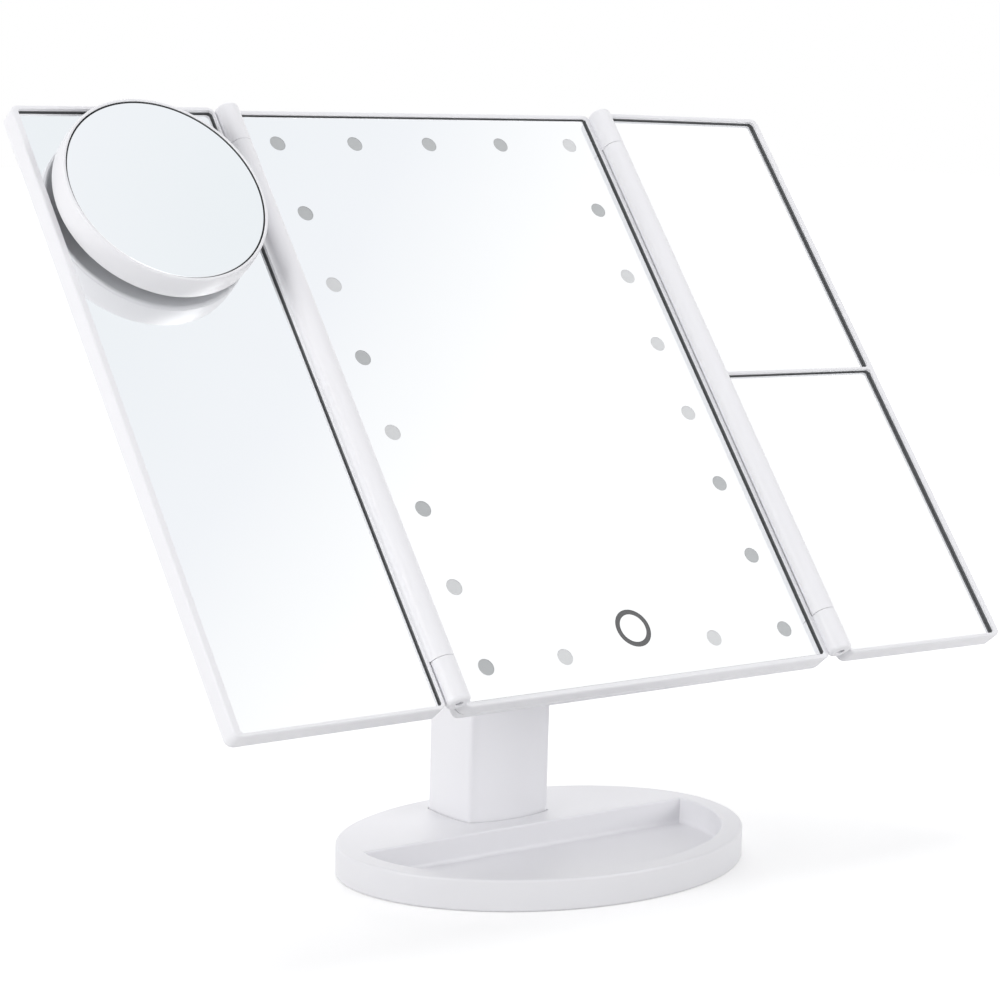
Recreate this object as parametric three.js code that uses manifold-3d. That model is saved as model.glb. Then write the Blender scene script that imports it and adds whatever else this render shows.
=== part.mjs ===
// Trifold vanity mirror: an oval base with a tray, a column, and a tilting head with two folding wings.
// Millimetres, +Z up, the viewer stands on the -Y side, origin on the table under the middle of the base.

import * as THREE from 'three';
import { mergeVertices, toCreasedNormals } from 'three/addons/utils/BufferGeometryUtils.js';
import Module from 'manifold-3d';

const wasm = await Module();
wasm.setup();

// Clearances
const FIT = 0.3;
const SEAM = 0.4;
const SCREW_FIT = 0.3;
const OVERCUT = 1.0;

// Small screws
const SCREW_RADIUS = 1.2;
const SCREW_HEAD_RADIUS = 2.6;
const SCREW_HEAD = 1.1;

// Base
const BASE_WIDTH = 165.4;
const BASE_FRONT_REACH = 64.0;
const BASE_BACK_REACH = 56.3;
const BASE_HEIGHT = 11.6;
const BASE_EDGE = 1.0;
const BASE_WALL = 2.4;
const BASE_TOP_WALL = 2.2;
const FOOT_THICKNESS = 0.8;
const FOOT_RADIUS = 6.0;
const FOOT_FRONT_FROM_SIDE = 38.7;
const FOOT_FRONT_FROM_END = 34.0;
const FOOT_REAR_FROM_SIDE = 40.7;
const FOOT_REAR_FROM_END = 23.3;
const TRAY_RIM = 8.0;
const TRAY_FLOOR = 1.8;
const TRAY_WALL_Y = 6.7;
const TRAY_EDGE = 0.8;
const TRAY_COVE = 1.6;
const COLUMN_SEAT = 1.2;
const PLATE_THICKNESS = 2.0;
const PLATE_LEDGE = 1.2;
const WEIGHT_THICKNESS = 3.0;
const WEIGHT_MARGIN = 4.0;
const BASE_BOSS_RADIUS = 3.4;
const BASE_BOSS_FROM_SIDE = 24.7;
const BASE_BOSS_FROM_WALL = 8.9;
const BASE_BOSS_INNER_X = 24.0;
const BASE_BOSS_INNER_FROM_END = 11.3;
const BASE_SCREW_LENGTH = 4.6;
const BASE_SCREW_SINK = 0.2;

// Column
const COLUMN_WIDTH = 37.4;
const COLUMN_DEPTH = 26.5;
const COLUMN_Y = 32.15;
const COLUMN_CORNER = 2.0;
const COLUMN_FRONT_BOW = 3.0;
const COLUMN_SIDE_BOW = 0.8;
const COLUMN_BACK_BOW = 0.6;
const COLUMN_WALL = 2.4;
const COLUMN_BOSS_RADIUS = 3.6;
const COLUMN_BOSS_HEIGHT = 15.0;
const COLUMN_BOSS_FROM_SIDE = 5.1;
const COLUMN_SCREW_LENGTH = 12.0;
const COLUMN_SCREW_RADIUS = 1.5;
const COLUMN_SCREW_HEAD_RADIUS = 3.0;
const COLUMN_SCREW_HEAD = 1.5;

// Batteries, size AAA, two stacks of two
const CELL_RADIUS = 5.2;
const CELL_LENGTH = 43.7;
const CELL_NUB_RADIUS = 1.9;
const CELL_NUB = 0.8;
const CELL_PITCH = 11.4;
const CELL_ROWS = 2;
const CONTACT_THICKNESS = 0.5;
const CONTACT_SPRING = 3.0;
const CONTACT_WIDTH = 8.0;
const HOLDER_WALL = 1.2;
const HOLDER_RISE = 20.4;
const DOOR_THICKNESS = 1.4;
const DOOR_LEDGE = 1.6;
const INLET_WIDTH = 9.0;
const INLET_HEIGHT = 3.4;
const INLET_DEPTH = 7.0;
const INLET_WALL = 0.5;
const INLET_RISE = 9.4;

// Tilt hinge
const PIVOT_RISE = 137.85;
const HEAD_TILT = THREE.MathUtils.degToRad(38.3);
const AXLE_RADIUS = 2.5;
const AXLE_HEAD_RADIUS = 4.5;
const AXLE_HEAD = 1.8;
const AXLE_SHOULDER_FROM_SIDE = 4.5;
const AXLE_CAP_RADIUS = 5.6;
const AXLE_CAP_PROUD = 0.5;
const TONGUE_WIDTH = 14.0;
const TONGUE_RADIUS = 9.0;
const TONGUE_ROOT = 10.0;
const TONGUE_SWEEP = 1.5;
const WASHER_THICKNESS = 1.0;
const WASHER_RADIUS = 8.0;
const BRACKET_WIDTH = 46.0;
const BRACKET_HEIGHT = 34.0;
const BRACKET_THICKNESS = 2.6;
const BRACKET_CORNER = 4.0;
const BRACKET_SCREW_FROM_SIDE = 6.0;
const BRACKET_SCREW_FROM_END = 5.5;

// Head: the glass face stands in front of the tilt axis
const GLASS_AHEAD = 30.0;
const PANEL_RISE = 8.5;
const PANEL_WIDTH = 166.6;
const PANEL_HEIGHT = 245.6;
const PANEL_CORNER = 3.0;
const PANEL_EDGE = 0.8;
const LIP = 1.8;
const GLASS_THICKNESS = 2.0;
const GLASS_CORNER = 1.5;
const CENTRE_LIP_RISE = 1.2;
const CENTRE_FRAME_DEPTH = 4.5;
const CENTRE_WINDOW_LEDGE = 3.2;
const SHELL_BACK = 11.0;
const SHELL_WALL = 1.8;
const SHELL_EDGE = 2.4;
const SHELL_POST_RADIUS = 3.0;
const WELL_WALL = 1.5;

// Lights
const LIGHT_COLUMNS = 5;
const LIGHT_ROWS = 8;
const LIGHT_FROM_SIDE = 15.3;
const LIGHT_FROM_END = 14.125;
const LIGHT_RADIUS = 3.15;
const ETCH_DEPTH = 0.2;
const RING_RADIUS = 7.4;
const RING_WIDTH = 1.9;
const RING_FROM_END = 21.8;
const LED_WIDTH = 3.5;
const LED_HEIGHT = 1.6;
const LED_BOARD_THICKNESS = 1.2;
const LED_BOARD_BAND = 18.0;
const CONTROL_WIDTH = 36.0;
const CONTROL_HEIGHT = 18.0;
const CONTROL_THICKNESS = 1.0;
const CONTROL_CHIP = 1.0;
const TOUCH_PAD_RADIUS = 5.0;
const SWITCH_FROM_SIDE = 31.3;
const SWITCH_FROM_END = 25.7;
const SWITCH_KNOB = 3.0;
const SWITCH_TRAVEL = 3.5;
const SWITCH_FLANGE = 1.6;
const SWITCH_PLATE = 0.9;
const SWITCH_PROUD = 0.9;

// Wing hinges
const HINGE_BESIDE = 3.5;
const HINGE_AHEAD = 3.0;
const KNUCKLE_RADIUS = 4.5;
const KNUCKLE_GAP = 0.4;
const KNUCKLE_COVE = 0.35;
const MIDDLE_KNUCKLE_FROM_END = 17.4;
const END_KNUCKLE = 16.2;
const PIN_RADIUS = 1.2;
const PIN_GRIP = 13.0;
const PIN_INSET = 0.6;

// Wings
const WING_WIDTH = 81.8;
const WING_DEPTH = 8.0;
const WING_GAP = 4.8;
const WING_GLASS_DROP = 0.9;
const WING_FILLET = 2.2;
const WING_PANEL_THICKNESS = 1.4;
const WING_PANEL_MARGIN = 2.2;
const WING_PANEL_LEDGE = 3.0;
const WING_FLOOR = 1.4;
const DIVIDER = 2.2;
const LEFT_WING_SPREAD = THREE.MathUtils.degToRad(0.5);
const RIGHT_WING_SPREAD = THREE.MathUtils.degToRad(1.7);

// Spot mirror on the left wing
const SPOT_FROM_SIDE = 41.5;
const SPOT_FROM_END = 44.2;
const SPOT_RADIUS = 38.7;
const SPOT_STANDOFF = 1.8;
const SPOT_DEPTH = 11.1;
const SPOT_BULGE = 0.4;
const SPOT_RIM = 1.1;
const SPOT_GLASS_DROP = 0.5;
const SPOT_GLASS_THICKNESS = 1.8;
const SPOT_GLASS_DISH = 1.06;
const CUP_RADIUS = 15.0;
const CUP_POCKET = 3.4;
const CUP_NECK_RADIUS = 7.0;

// Facets
const BASE_STEPS = 60;
const CORNER_STEPS = 4;
const BOW_STEPS = 6;
const SMALL_ROUND = 12;
const ROUND = 20;
const MIDDLE_ROUND = 16;
const LIGHT_STEPS = 12;
const SPOT_STEPS = 44;
const DISH_STEPS = 3;
const WELD = 1e-5;
const CREASE = THREE.MathUtils.degToRad(32);

// Finishes: colour, roughness, metalness
const WHITE_PLASTIC = [0xf2f1f4, 0.42, 0];
const INNER_PLASTIC = [0xdcdde0, 0.6, 0];
const MIRROR = [0xe9eef3, 0.04, 1];
const STEEL = [0xb9bcc2, 0.32, 1];
const WEIGHT_STEEL = [0x7c7f84, 0.5, 1];
const RUBBER = [0x2b2b2e, 0.85, 0];
const CUP_RUBBER = [0x3a3b40, 0.35, 0];
const BOARD = [0xf0efe6, 0.55, 0];
const CONTROL_BOARD = [0x1f5a3a, 0.55, 0];
const CELL_SLEEVE = [0x33363c, 0.4, 0.3];
const FOAM = [0x6d6f73, 0.95, 0];
const SWITCH_PLASTIC = [0x4a4b50, 0.5, 0];

// Heights and depths worked out from the values above
const FOOT_FRONT_X = BASE_WIDTH / 2 - FOOT_FRONT_FROM_SIDE;
const FOOT_FRONT_Y = FOOT_FRONT_FROM_END - BASE_FRONT_REACH;
const FOOT_REAR_X = BASE_WIDTH / 2 - FOOT_REAR_FROM_SIDE;
const FOOT_REAR_Y = BASE_BACK_REACH - FOOT_REAR_FROM_END;
const BASE_CEILING = BASE_HEIGHT - COLUMN_SEAT - BASE_TOP_WALL;
const COLUMN_BOTTOM = BASE_HEIGHT - COLUMN_SEAT;
const INLET_Z = BASE_HEIGHT + INLET_RISE;
const HOLDER_FLOOR_Z = BASE_HEIGHT + HOLDER_RISE;
const PIVOT_Z = BASE_HEIGHT + PIVOT_RISE;
const PIVOT_Y = COLUMN_Y + (COLUMN_BACK_BOW - COLUMN_FRONT_BOW) / 2;
const DOME_RADIUS = (COLUMN_DEPTH + COLUMN_FRONT_BOW + COLUMN_BACK_BOW) / 2;
const CAVITY_FRONT_Y = TRAY_WALL_Y + BASE_WALL;
const BASE_BOSS_X = BASE_WIDTH / 2 - BASE_BOSS_FROM_SIDE;
const BASE_BOSS_Y = CAVITY_FRONT_Y + BASE_BOSS_FROM_WALL;
const BASE_BOSS_INNER_Y = BASE_BACK_REACH - BASE_BOSS_INNER_FROM_END;
const COLUMN_BOSS_X = COLUMN_WIDTH / 2 - COLUMN_BOSS_FROM_SIDE;
const COLUMN_BACK_Y = COLUMN_Y + COLUMN_DEPTH / 2 + COLUMN_BACK_BOW;
const AXLE_SHOULDER_X = COLUMN_WIDTH / 2 - AXLE_SHOULDER_FROM_SIDE;
const AXLE_CAP_X = COLUMN_WIDTH / 2 + AXLE_CAP_PROUD;
const BRACKET_SCREW_X = BRACKET_WIDTH / 2 - BRACKET_SCREW_FROM_SIDE;
const BRACKET_SCREW_Z = BRACKET_HEIGHT / 2 - BRACKET_SCREW_FROM_END;
const SLOT_WIDTH = TONGUE_WIDTH + 2 * (WASHER_THICKNESS + 2 * FIT);
const SLOT_REACH = TONGUE_RADIUS + TONGUE_SWEEP;
const STACK_LENGTH = CELL_ROWS * (CELL_LENGTH + CELL_NUB + FIT);
const HOLDER_HEIGHT = 2 * HOLDER_WALL + 2 * (CONTACT_THICKNESS + FIT) + CONTACT_SPRING + STACK_LENGTH + FIT;
const HOLDER_WIDTH = CELL_PITCH + 2 * (CELL_RADIUS + FIT + HOLDER_WALL);
const HOLDER_BACK_Y = COLUMN_Y + COLUMN_DEPTH / 2 - COLUMN_WALL - FIT;
const HOLDER_DEPTH = 2 * (CELL_RADIUS + FIT) + HOLDER_WALL;
const CELL_Y = HOLDER_BACK_Y - CELL_RADIUS - FIT;
const CELL_BOTTOM = HOLDER_FLOOR_Z + HOLDER_WALL + FIT + CONTACT_THICKNESS + CONTACT_SPRING + FIT;
const GLASS_FACE_Y = -GLASS_AHEAD;
const HINGE_Y = GLASS_FACE_Y - HINGE_AHEAD;
const HINGE_X = PANEL_WIDTH / 2 + HINGE_BESIDE;
const MIDDLE_KNUCKLE = PANEL_HEIGHT - 2 * MIDDLE_KNUCKLE_FROM_END;
const LIGHT_PITCH_X = (PANEL_WIDTH - 2 * LIGHT_FROM_SIDE) / (LIGHT_COLUMNS - 1);
const LIGHT_PITCH_Z = (PANEL_HEIGHT - 2 * LIGHT_FROM_END) / (LIGHT_ROWS - 1);
const RING_Z = RING_FROM_END - PANEL_HEIGHT / 2;
const SWITCH_X = PANEL_WIDTH / 2 - SWITCH_FROM_SIDE;
const SWITCH_Z = SWITCH_FROM_END - PANEL_HEIGHT / 2;
const SPOT_X = WING_GAP + WING_WIDTH - SPOT_FROM_SIDE;
const SPOT_Z = PANEL_HEIGHT / 2 - SPOT_FROM_END;
const POCKET_WIDTH = PANEL_WIDTH - 2 * (LIP + (PANEL_WIDTH / 2 - (HINGE_X - KNUCKLE_RADIUS)) + SEAM);
const POCKET_HEIGHT = PANEL_HEIGHT - 2 * LIP;
const FRAME_BACK_Y = GLASS_FACE_Y + CENTRE_FRAME_DEPTH;
const SHELL_FRONT_Y = FRAME_BACK_Y + FIT;
const SHELL_BACK_Y = GLASS_FACE_Y + SHELL_BACK;
const SHELL_FLOOR_Y = SHELL_BACK_Y - SHELL_WALL;
const SHELL_INSET = SHELL_WALL + FIT;
const WELL_FLOOR_Y = SHELL_BACK_Y - BRACKET_THICKNESS - FIT;
const WELL_TOP_Y = WELL_FLOOR_Y - WELL_WALL;
const BOARD_FRONT_Y = SHELL_FRONT_Y + FIT;
const BOARD_BACK_Y = BOARD_FRONT_Y + LED_BOARD_THICKNESS;
const END_KNUCKLE_START = MIDDLE_KNUCKLE / 2 + KNUCKLE_GAP;
const WING_POCKET_DEPTH = WING_GLASS_DROP + GLASS_THICKNESS + FIT;
const WING_POCKET_WIDTH = WING_WIDTH - 2 * LIP;
const WING_MIDDLE_X = WING_GAP + WING_WIDTH / 2;

// Shapes and solids

/** Turns a closed geometry into a solid that can be joined and cut. */
function solid(geometry) {
  const bare = geometry.clone();
  bare.deleteAttribute('normal');
  bare.deleteAttribute('uv');
  const welded = mergeVertices(bare, WELD);
  const vertProperties = new Float32Array(welded.attributes.position.array);
  const triVerts = new Uint32Array(welded.index.array);
  return new wasm.Manifold(new wasm.Mesh({ numProp: 3, vertProperties, triVerts }));
}

/** Turns a solid back into a geometry with crisp edges. */
function surface(body) {
  const mesh = body.getMesh();
  const geometry = new THREE.BufferGeometry();
  geometry.setAttribute('position', new THREE.BufferAttribute(new Float32Array(mesh.vertProperties), 3));
  geometry.setIndex(new THREE.BufferAttribute(new Uint32Array(mesh.triVerts), 1));
  return toCreasedNormals(geometry, CREASE);
}

function join(first, ...others) {
  return others.reduce((body, other) => body.add(other), first);
}

function cut(first, ...others) {
  return others.reduce((body, other) => body.subtract(other), first);
}

/** A box between two corners. */
function block(x0, x1, y0, y1, z0, z1) {
  const geometry = new THREE.BoxGeometry(x1 - x0, y1 - y0, z1 - z0);
  return solid(geometry.translate((x0 + x1) / 2, (y0 + y1) / 2, (z0 + z1) / 2));
}

/** Extrudes an outline along Z from 0, with both of its edges eased inward. */
function extrude(shape, thickness, edge = 0, steps = CORNER_STEPS) {
  return new THREE.ExtrudeGeometry(shape, {
    depth: thickness - 2 * edge,
    curveSegments: steps,
    bevelEnabled: edge > 0,
    bevelThickness: edge,
    bevelSize: edge,
    bevelOffset: -edge,
    bevelSegments: 2,
  }).translate(0, 0, edge);
}

/** An upright prism of a plan outline. */
function prism(shape, z0, z1, edge = 0, steps = CORNER_STEPS) {
  return solid(extrude(shape, z1 - z0, edge, steps).translate(0, 0, z0));
}

/** A slab whose outline is seen from the front, between two depths. */
function slab(shape, yFront, yBack, edge = 0, steps = CORNER_STEPS) {
  const geometry = extrude(shape, yBack - yFront, edge, steps);
  return solid(geometry.rotateX(Math.PI / 2).translate(0, yBack, 0));
}

/** A slab whose outline is seen from the side, as y and z, between two x. */
function sidePrism(shape, x0, x1, steps = CORNER_STEPS) {
  const axes = new THREE.Matrix4().makeBasis(
    new THREE.Vector3(0, 1, 0),
    new THREE.Vector3(0, 0, 1),
    new THREE.Vector3(1, 0, 0),
  );
  return solid(extrude(shape, x1 - x0, 0, steps).applyMatrix4(axes).translate(x0, 0, 0));
}

function rodZ(radius, x, y, z0, z1, steps = SMALL_ROUND) {
  const geometry = new THREE.CylinderGeometry(radius, radius, z1 - z0, steps);
  return solid(geometry.rotateX(Math.PI / 2).translate(x, y, (z0 + z1) / 2));
}

function rodY(radius, x, z, y0, y1, steps = SMALL_ROUND) {
  const geometry = new THREE.CylinderGeometry(radius, radius, y1 - y0, steps);
  return solid(geometry.translate(x, (y0 + y1) / 2, z));
}

function rodX(radius, y, z, x0, x1, steps = ROUND) {
  const geometry = new THREE.CylinderGeometry(radius, radius, x1 - x0, steps);
  return solid(geometry.rotateZ(Math.PI / 2).translate((x0 + x1) / 2, y, z));
}

/** Revolves a profile of radius and height about the upright axis. */
function turned(profile, steps) {
  const points = profile.map(([radius, height]) => new THREE.Vector2(radius, height));
  return new THREE.LatheGeometry(points, steps).rotateX(Math.PI / 2);
}

/** A rectangle with round corners about a middle point. */
function roundedRectangle(width, height, corner, x = 0, y = 0) {
  const left = x - width / 2;
  const right = x + width / 2;
  const low = y - height / 2;
  const high = y + height / 2;
  const shape = new THREE.Shape();
  shape.moveTo(left + corner, low);
  shape.lineTo(right - corner, low);
  shape.quadraticCurveTo(right, low, right, low + corner);
  shape.lineTo(right, high - corner);
  shape.quadraticCurveTo(right, high, right - corner, high);
  shape.lineTo(left + corner, high);
  shape.quadraticCurveTo(left, high, left, high - corner);
  shape.lineTo(left, low + corner);
  shape.quadraticCurveTo(left, low, left + corner, low);
  return shape;
}

/** Mirrors a solid from the right side to the left. */
function mirrored(body) {
  return body.mirror([1, 0, 0]);
}

// Scene

const mirror = new THREE.Group();
const head = new THREE.Group();
const panel = new THREE.Group();
const rightWing = new THREE.Group();
const leftWing = new THREE.Group();
const spotMirror = new THREE.Group();

head.position.set(0, PIVOT_Y, PIVOT_Z);
head.rotation.x = -HEAD_TILT;
panel.position.z = PANEL_RISE;
rightWing.position.set(HINGE_X, HINGE_Y, 0);
leftWing.position.set(-HINGE_X, HINGE_Y, 0);
leftWing.rotation.z = -LEFT_WING_SPREAD;
rightWing.rotation.z = RIGHT_WING_SPREAD;
spotMirror.position.set(-SPOT_X, WING_GLASS_DROP, SPOT_Z);
spotMirror.rotation.x = Math.PI / 2;
mirror.add(head);
head.add(panel);
panel.add(rightWing, leftWing);
leftWing.add(spotMirror);

/** Adds one named piece to a group with its finish. */
function piece(group, name, shape, [color, roughness, metalness]) {
  const geometry = shape.isBufferGeometry ? shape : surface(shape);
  const mesh = new THREE.Mesh(geometry, new THREE.MeshStandardMaterial({ color, roughness, metalness }));
  mesh.name = name;
  group.add(mesh);
  return mesh;
}

// Base

/** Plan point of the oval base, drawn in by an inset, at an angle. */
function basePoint(angle, inset) {
  const reach = Math.sin(angle) < 0 ? BASE_FRONT_REACH : BASE_BACK_REACH;
  return new THREE.Vector2(
    (BASE_WIDTH / 2 - inset) * Math.cos(angle),
    (reach - inset) * Math.sin(angle),
  );
}

function basePlan(inset) {
  const points = [];
  for (let i = 0; i < BASE_STEPS; i += 1) {
    points.push(basePoint((2 * Math.PI * i) / BASE_STEPS, inset));
  }
  return new THREE.Shape(points);
}

/** The part of the oval on one side of a straight line across it. */
function baseSegment(inset, lineY, inFront) {
  const start = Math.asin(lineY / (BASE_BACK_REACH - inset));
  const sweep = inFront ? -(Math.PI + 2 * start) : Math.PI - 2 * start;
  const count = BASE_STEPS / 2;
  const points = [];
  for (let i = 0; i <= count; i += 1) {
    points.push(basePoint(start + (sweep * i) / count, inset));
  }
  return new THREE.Shape(points);
}

/** Screw posts that hold the underside plate: x and y of each. */
function basePosts() {
  return [
    [-BASE_BOSS_X, BASE_BOSS_Y],
    [BASE_BOSS_X, BASE_BOSS_Y],
    [-BASE_BOSS_INNER_X, BASE_BOSS_INNER_Y],
    [BASE_BOSS_INNER_X, BASE_BOSS_INNER_Y],
  ];
}

/** Rubber feet, set flush in round recesses: name, x and y of each. */
function feet() {
  return [
    ['front_left', -FOOT_FRONT_X, FOOT_FRONT_Y],
    ['front_right', FOOT_FRONT_X, FOOT_FRONT_Y],
    ['rear_left', -FOOT_REAR_X, FOOT_REAR_Y],
    ['rear_right', FOOT_REAR_X, FOOT_REAR_Y],
  ];
}

/** Cuts the round recesses of the feet into a body whose underside is at zero. */
function cutFootRecesses(body) {
  return feet().reduce((rest, [, x, y]) => (
    rest.subtract(rodZ(FOOT_RADIUS + FIT, x, y, -OVERCUT, FOOT_THICKNESS, MIDDLE_ROUND))
  ), body);
}

function buildBaseShell() {
  const body = prism(basePlan(0), 0, BASE_HEIGHT, BASE_EDGE);
  const trayTop = BASE_HEIGHT + 2 * TRAY_COVE;
  const tray = prism(baseSegment(TRAY_RIM, TRAY_WALL_Y, true), TRAY_FLOOR, trayTop, TRAY_COVE);
  const mouthPlan = baseSegment(TRAY_RIM - TRAY_EDGE, TRAY_WALL_Y + TRAY_EDGE, true);
  const mouth = prism(mouthPlan, BASE_HEIGHT - TRAY_EDGE, BASE_HEIGHT + 2 * TRAY_EDGE, TRAY_EDGE);
  const cavity = prism(baseSegment(BASE_WALL, CAVITY_FRONT_Y, false), -OVERCUT, BASE_CEILING);
  const ledgePlan = baseSegment(BASE_WALL - PLATE_LEDGE, CAVITY_FRONT_Y - PLATE_LEDGE, false);
  const ledge = prism(ledgePlan, -OVERCUT, PLATE_THICKNESS + FIT);
  const seat = columnPrism(SEAM, COLUMN_BOTTOM, BASE_HEIGHT + OVERCUT);
  let shell = cut(cutFootRecesses(body), tray, mouth, cavity, ledge, seat);
  for (const [x, y] of basePosts()) {
    shell = shell.add(rodZ(BASE_BOSS_RADIUS, x, y, PLATE_THICKNESS + FIT, BASE_CEILING + OVERCUT));
    shell = shell.subtract(rodZ(SCREW_RADIUS + SCREW_FIT, x, y, 0, BASE_CEILING));
  }
  for (const side of [-1, 1]) {
    const x = side * COLUMN_BOSS_X;
    shell = shell.subtract(rodZ(COLUMN_SCREW_RADIUS + SCREW_FIT, x, COLUMN_Y, 0, BASE_HEIGHT));
  }
  return shell;
}

function buildBottomPlate() {
  const inset = BASE_WALL - PLATE_LEDGE + FIT;
  const plan = baseSegment(inset, CAVITY_FRONT_Y - PLATE_LEDGE + FIT, false);
  let plate = cutFootRecesses(prism(plan, 0, PLATE_THICKNESS));
  for (const [x, y] of basePosts()) {
    const headTop = BASE_SCREW_SINK + SCREW_HEAD;
    plate = plate.subtract(rodZ(SCREW_RADIUS + SCREW_FIT, x, y, -OVERCUT, PLATE_THICKNESS + OVERCUT));
    plate = plate.subtract(rodZ(SCREW_HEAD_RADIUS + SCREW_FIT, x, y, -OVERCUT, headTop));
  }
  return plate;
}

function buildBaseWeight() {
  const plan = baseSegment(BASE_WALL + WEIGHT_MARGIN, CAVITY_FRONT_Y + WEIGHT_MARGIN, false);
  const bottom = PLATE_THICKNESS + FIT;
  let weight = prism(plan, bottom, bottom + WEIGHT_THICKNESS);
  for (const [x, y] of basePosts()) {
    weight = weight.subtract(rodZ(BASE_BOSS_RADIUS + FIT, x, y, 0, BASE_HEIGHT));
  }
  return weight;
}

/** A pan head screw that points up from its head. */
function upScrew(x, y, headBottom, headRadius, headHeight, shankRadius, length) {
  const headTop = headBottom + headHeight;
  return join(
    rodZ(headRadius, x, y, headBottom, headTop),
    rodZ(shankRadius, x, y, headTop - headHeight / 2, headTop + length),
  );
}

function addBase() {
  piece(mirror, 'base_shell', buildBaseShell(), WHITE_PLASTIC);
  piece(mirror, 'base_bottom_plate', buildBottomPlate(), INNER_PLASTIC);
  piece(mirror, 'base_weight', buildBaseWeight(), WEIGHT_STEEL);
  basePosts().forEach(([x, y], index) => {
    const screw = upScrew(
      x, y, BASE_SCREW_SINK,
      SCREW_HEAD_RADIUS, SCREW_HEAD, SCREW_RADIUS, BASE_SCREW_LENGTH,
    );
    piece(mirror, `base_screw_${index + 1}`, screw, STEEL);
  });
  for (const [place, x, y] of feet()) {
    piece(mirror, `foot_${place}`, rodZ(FOOT_RADIUS, x, y, 0, FOOT_THICKNESS, MIDDLE_ROUND), RUBBER);
  }
}

// Column

/** Plan of the column about its own middle: four bowed faces and small round corners. */
function columnPlan(grow) {
  const x = COLUMN_WIDTH / 2 + grow;
  const y = COLUMN_DEPTH / 2 + grow;
  const r = COLUMN_CORNER;
  const shape = new THREE.Shape();
  shape.moveTo(-x + r, -y);
  shape.quadraticCurveTo(0, -y - 2 * COLUMN_FRONT_BOW, x - r, -y);
  shape.quadraticCurveTo(x, -y, x, -y + r);
  shape.quadraticCurveTo(x + 2 * COLUMN_SIDE_BOW, 0, x, y - r);
  shape.quadraticCurveTo(x, y, x - r, y);
  shape.quadraticCurveTo(0, y + 2 * COLUMN_BACK_BOW, -x + r, y);
  shape.quadraticCurveTo(-x, y, -x, y - r);
  shape.quadraticCurveTo(-x - 2 * COLUMN_SIDE_BOW, 0, -x, -y + r);
  shape.quadraticCurveTo(-x, -y, -x + r, -y);
  return shape;
}

function columnPrism(grow, z0, z1) {
  return prism(columnPlan(grow), z0, z1, 0, BOW_STEPS).translate([0, COLUMN_Y, 0]);
}

/** Opening behind the batteries, grown by a margin. */
function doorOpening(grow, yFront) {
  const top = HOLDER_FLOOR_Z + HOLDER_HEIGHT;
  return block(
    -HOLDER_WIDTH / 2 - grow, HOLDER_WIDTH / 2 + grow,
    yFront, COLUMN_BACK_Y + OVERCUT,
    HOLDER_FLOOR_Z - grow, top + grow,
  );
}

/** Round top of the column, centred on the tilt axis. */
function columnOuter() {
  const top = PIVOT_Z + DOME_RADIUS;
  const keep = new THREE.Shape();
  keep.moveTo(PIVOT_Y - DOME_RADIUS, COLUMN_BOTTOM);
  keep.lineTo(PIVOT_Y + DOME_RADIUS, COLUMN_BOTTOM);
  keep.lineTo(PIVOT_Y + DOME_RADIUS, PIVOT_Z);
  keep.absarc(PIVOT_Y, PIVOT_Z, DOME_RADIUS, 0, Math.PI, false);
  const profile = sidePrism(keep, -COLUMN_WIDTH, COLUMN_WIDTH, ROUND / 2);
  return columnPrism(0, COLUMN_BOTTOM, top).intersect(profile);
}

function buildColumnShell() {
  const ceiling = PIVOT_Z - SLOT_REACH - COLUMN_WALL;
  const hollow = columnPrism(-COLUMN_WALL, COLUMN_BOTTOM - OVERCUT, ceiling);
  let shell = columnOuter().subtract(hollow);
  const slot = block(
    -SLOT_WIDTH / 2, SLOT_WIDTH / 2,
    PIVOT_Y - 2 * DOME_RADIUS, PIVOT_Y + SLOT_REACH,
    PIVOT_Z - SLOT_REACH, PIVOT_Z + 2 * DOME_RADIUS,
  );
  const bore = rodX(AXLE_RADIUS + FIT, PIVOT_Y, PIVOT_Z, -COLUMN_WIDTH, COLUMN_WIDTH);
  shell = cut(shell, slot, bore);
  for (const side of [-1, 1]) {
    const inner = side * AXLE_SHOULDER_X;
    const outer = side * COLUMN_WIDTH;
    const from = Math.min(inner, outer);
    const to = Math.max(inner, outer);
    shell = shell.subtract(rodX(AXLE_CAP_RADIUS + FIT, PIVOT_Y, PIVOT_Z, from, to));
    const x = side * COLUMN_BOSS_X;
    const boss = rodZ(COLUMN_BOSS_RADIUS, x, COLUMN_Y, COLUMN_BOTTOM, COLUMN_BOTTOM + COLUMN_BOSS_HEIGHT);
    const inside = columnPrism(-COLUMN_WALL / 2, COLUMN_BOTTOM, ceiling);
    shell = shell.add(boss.intersect(inside));
    const pilot = COLUMN_BOTTOM + COLUMN_BOSS_HEIGHT - HOLDER_WALL;
    shell = shell.subtract(rodZ(COLUMN_SCREW_RADIUS + SCREW_FIT, x, COLUMN_Y, 0, pilot));
  }
  const recess = doorOpening(DOOR_LEDGE, COLUMN_BACK_Y - COLUMN_BACK_BOW - DOOR_THICKNESS - FIT);
  const opening = doorOpening(-HOLDER_WALL, HOLDER_BACK_Y - OVERCUT);
  const inlet = block(
    -INLET_WIDTH / 2 - FIT, INLET_WIDTH / 2 + FIT,
    HOLDER_BACK_Y - OVERCUT, COLUMN_BACK_Y + OVERCUT,
    INLET_Z - INLET_HEIGHT / 2 - FIT, INLET_Z + INLET_HEIGHT / 2 + FIT,
  );
  return cut(shell, recess, opening, inlet);
}

function buildBatteryDoor() {
  const plate = doorOpening(DOOR_LEDGE - FIT, COLUMN_BACK_Y - COLUMN_BACK_BOW - DOOR_THICKNESS);
  return columnPrism(0, COLUMN_BOTTOM, PIVOT_Z).intersect(plate);
}

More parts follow.
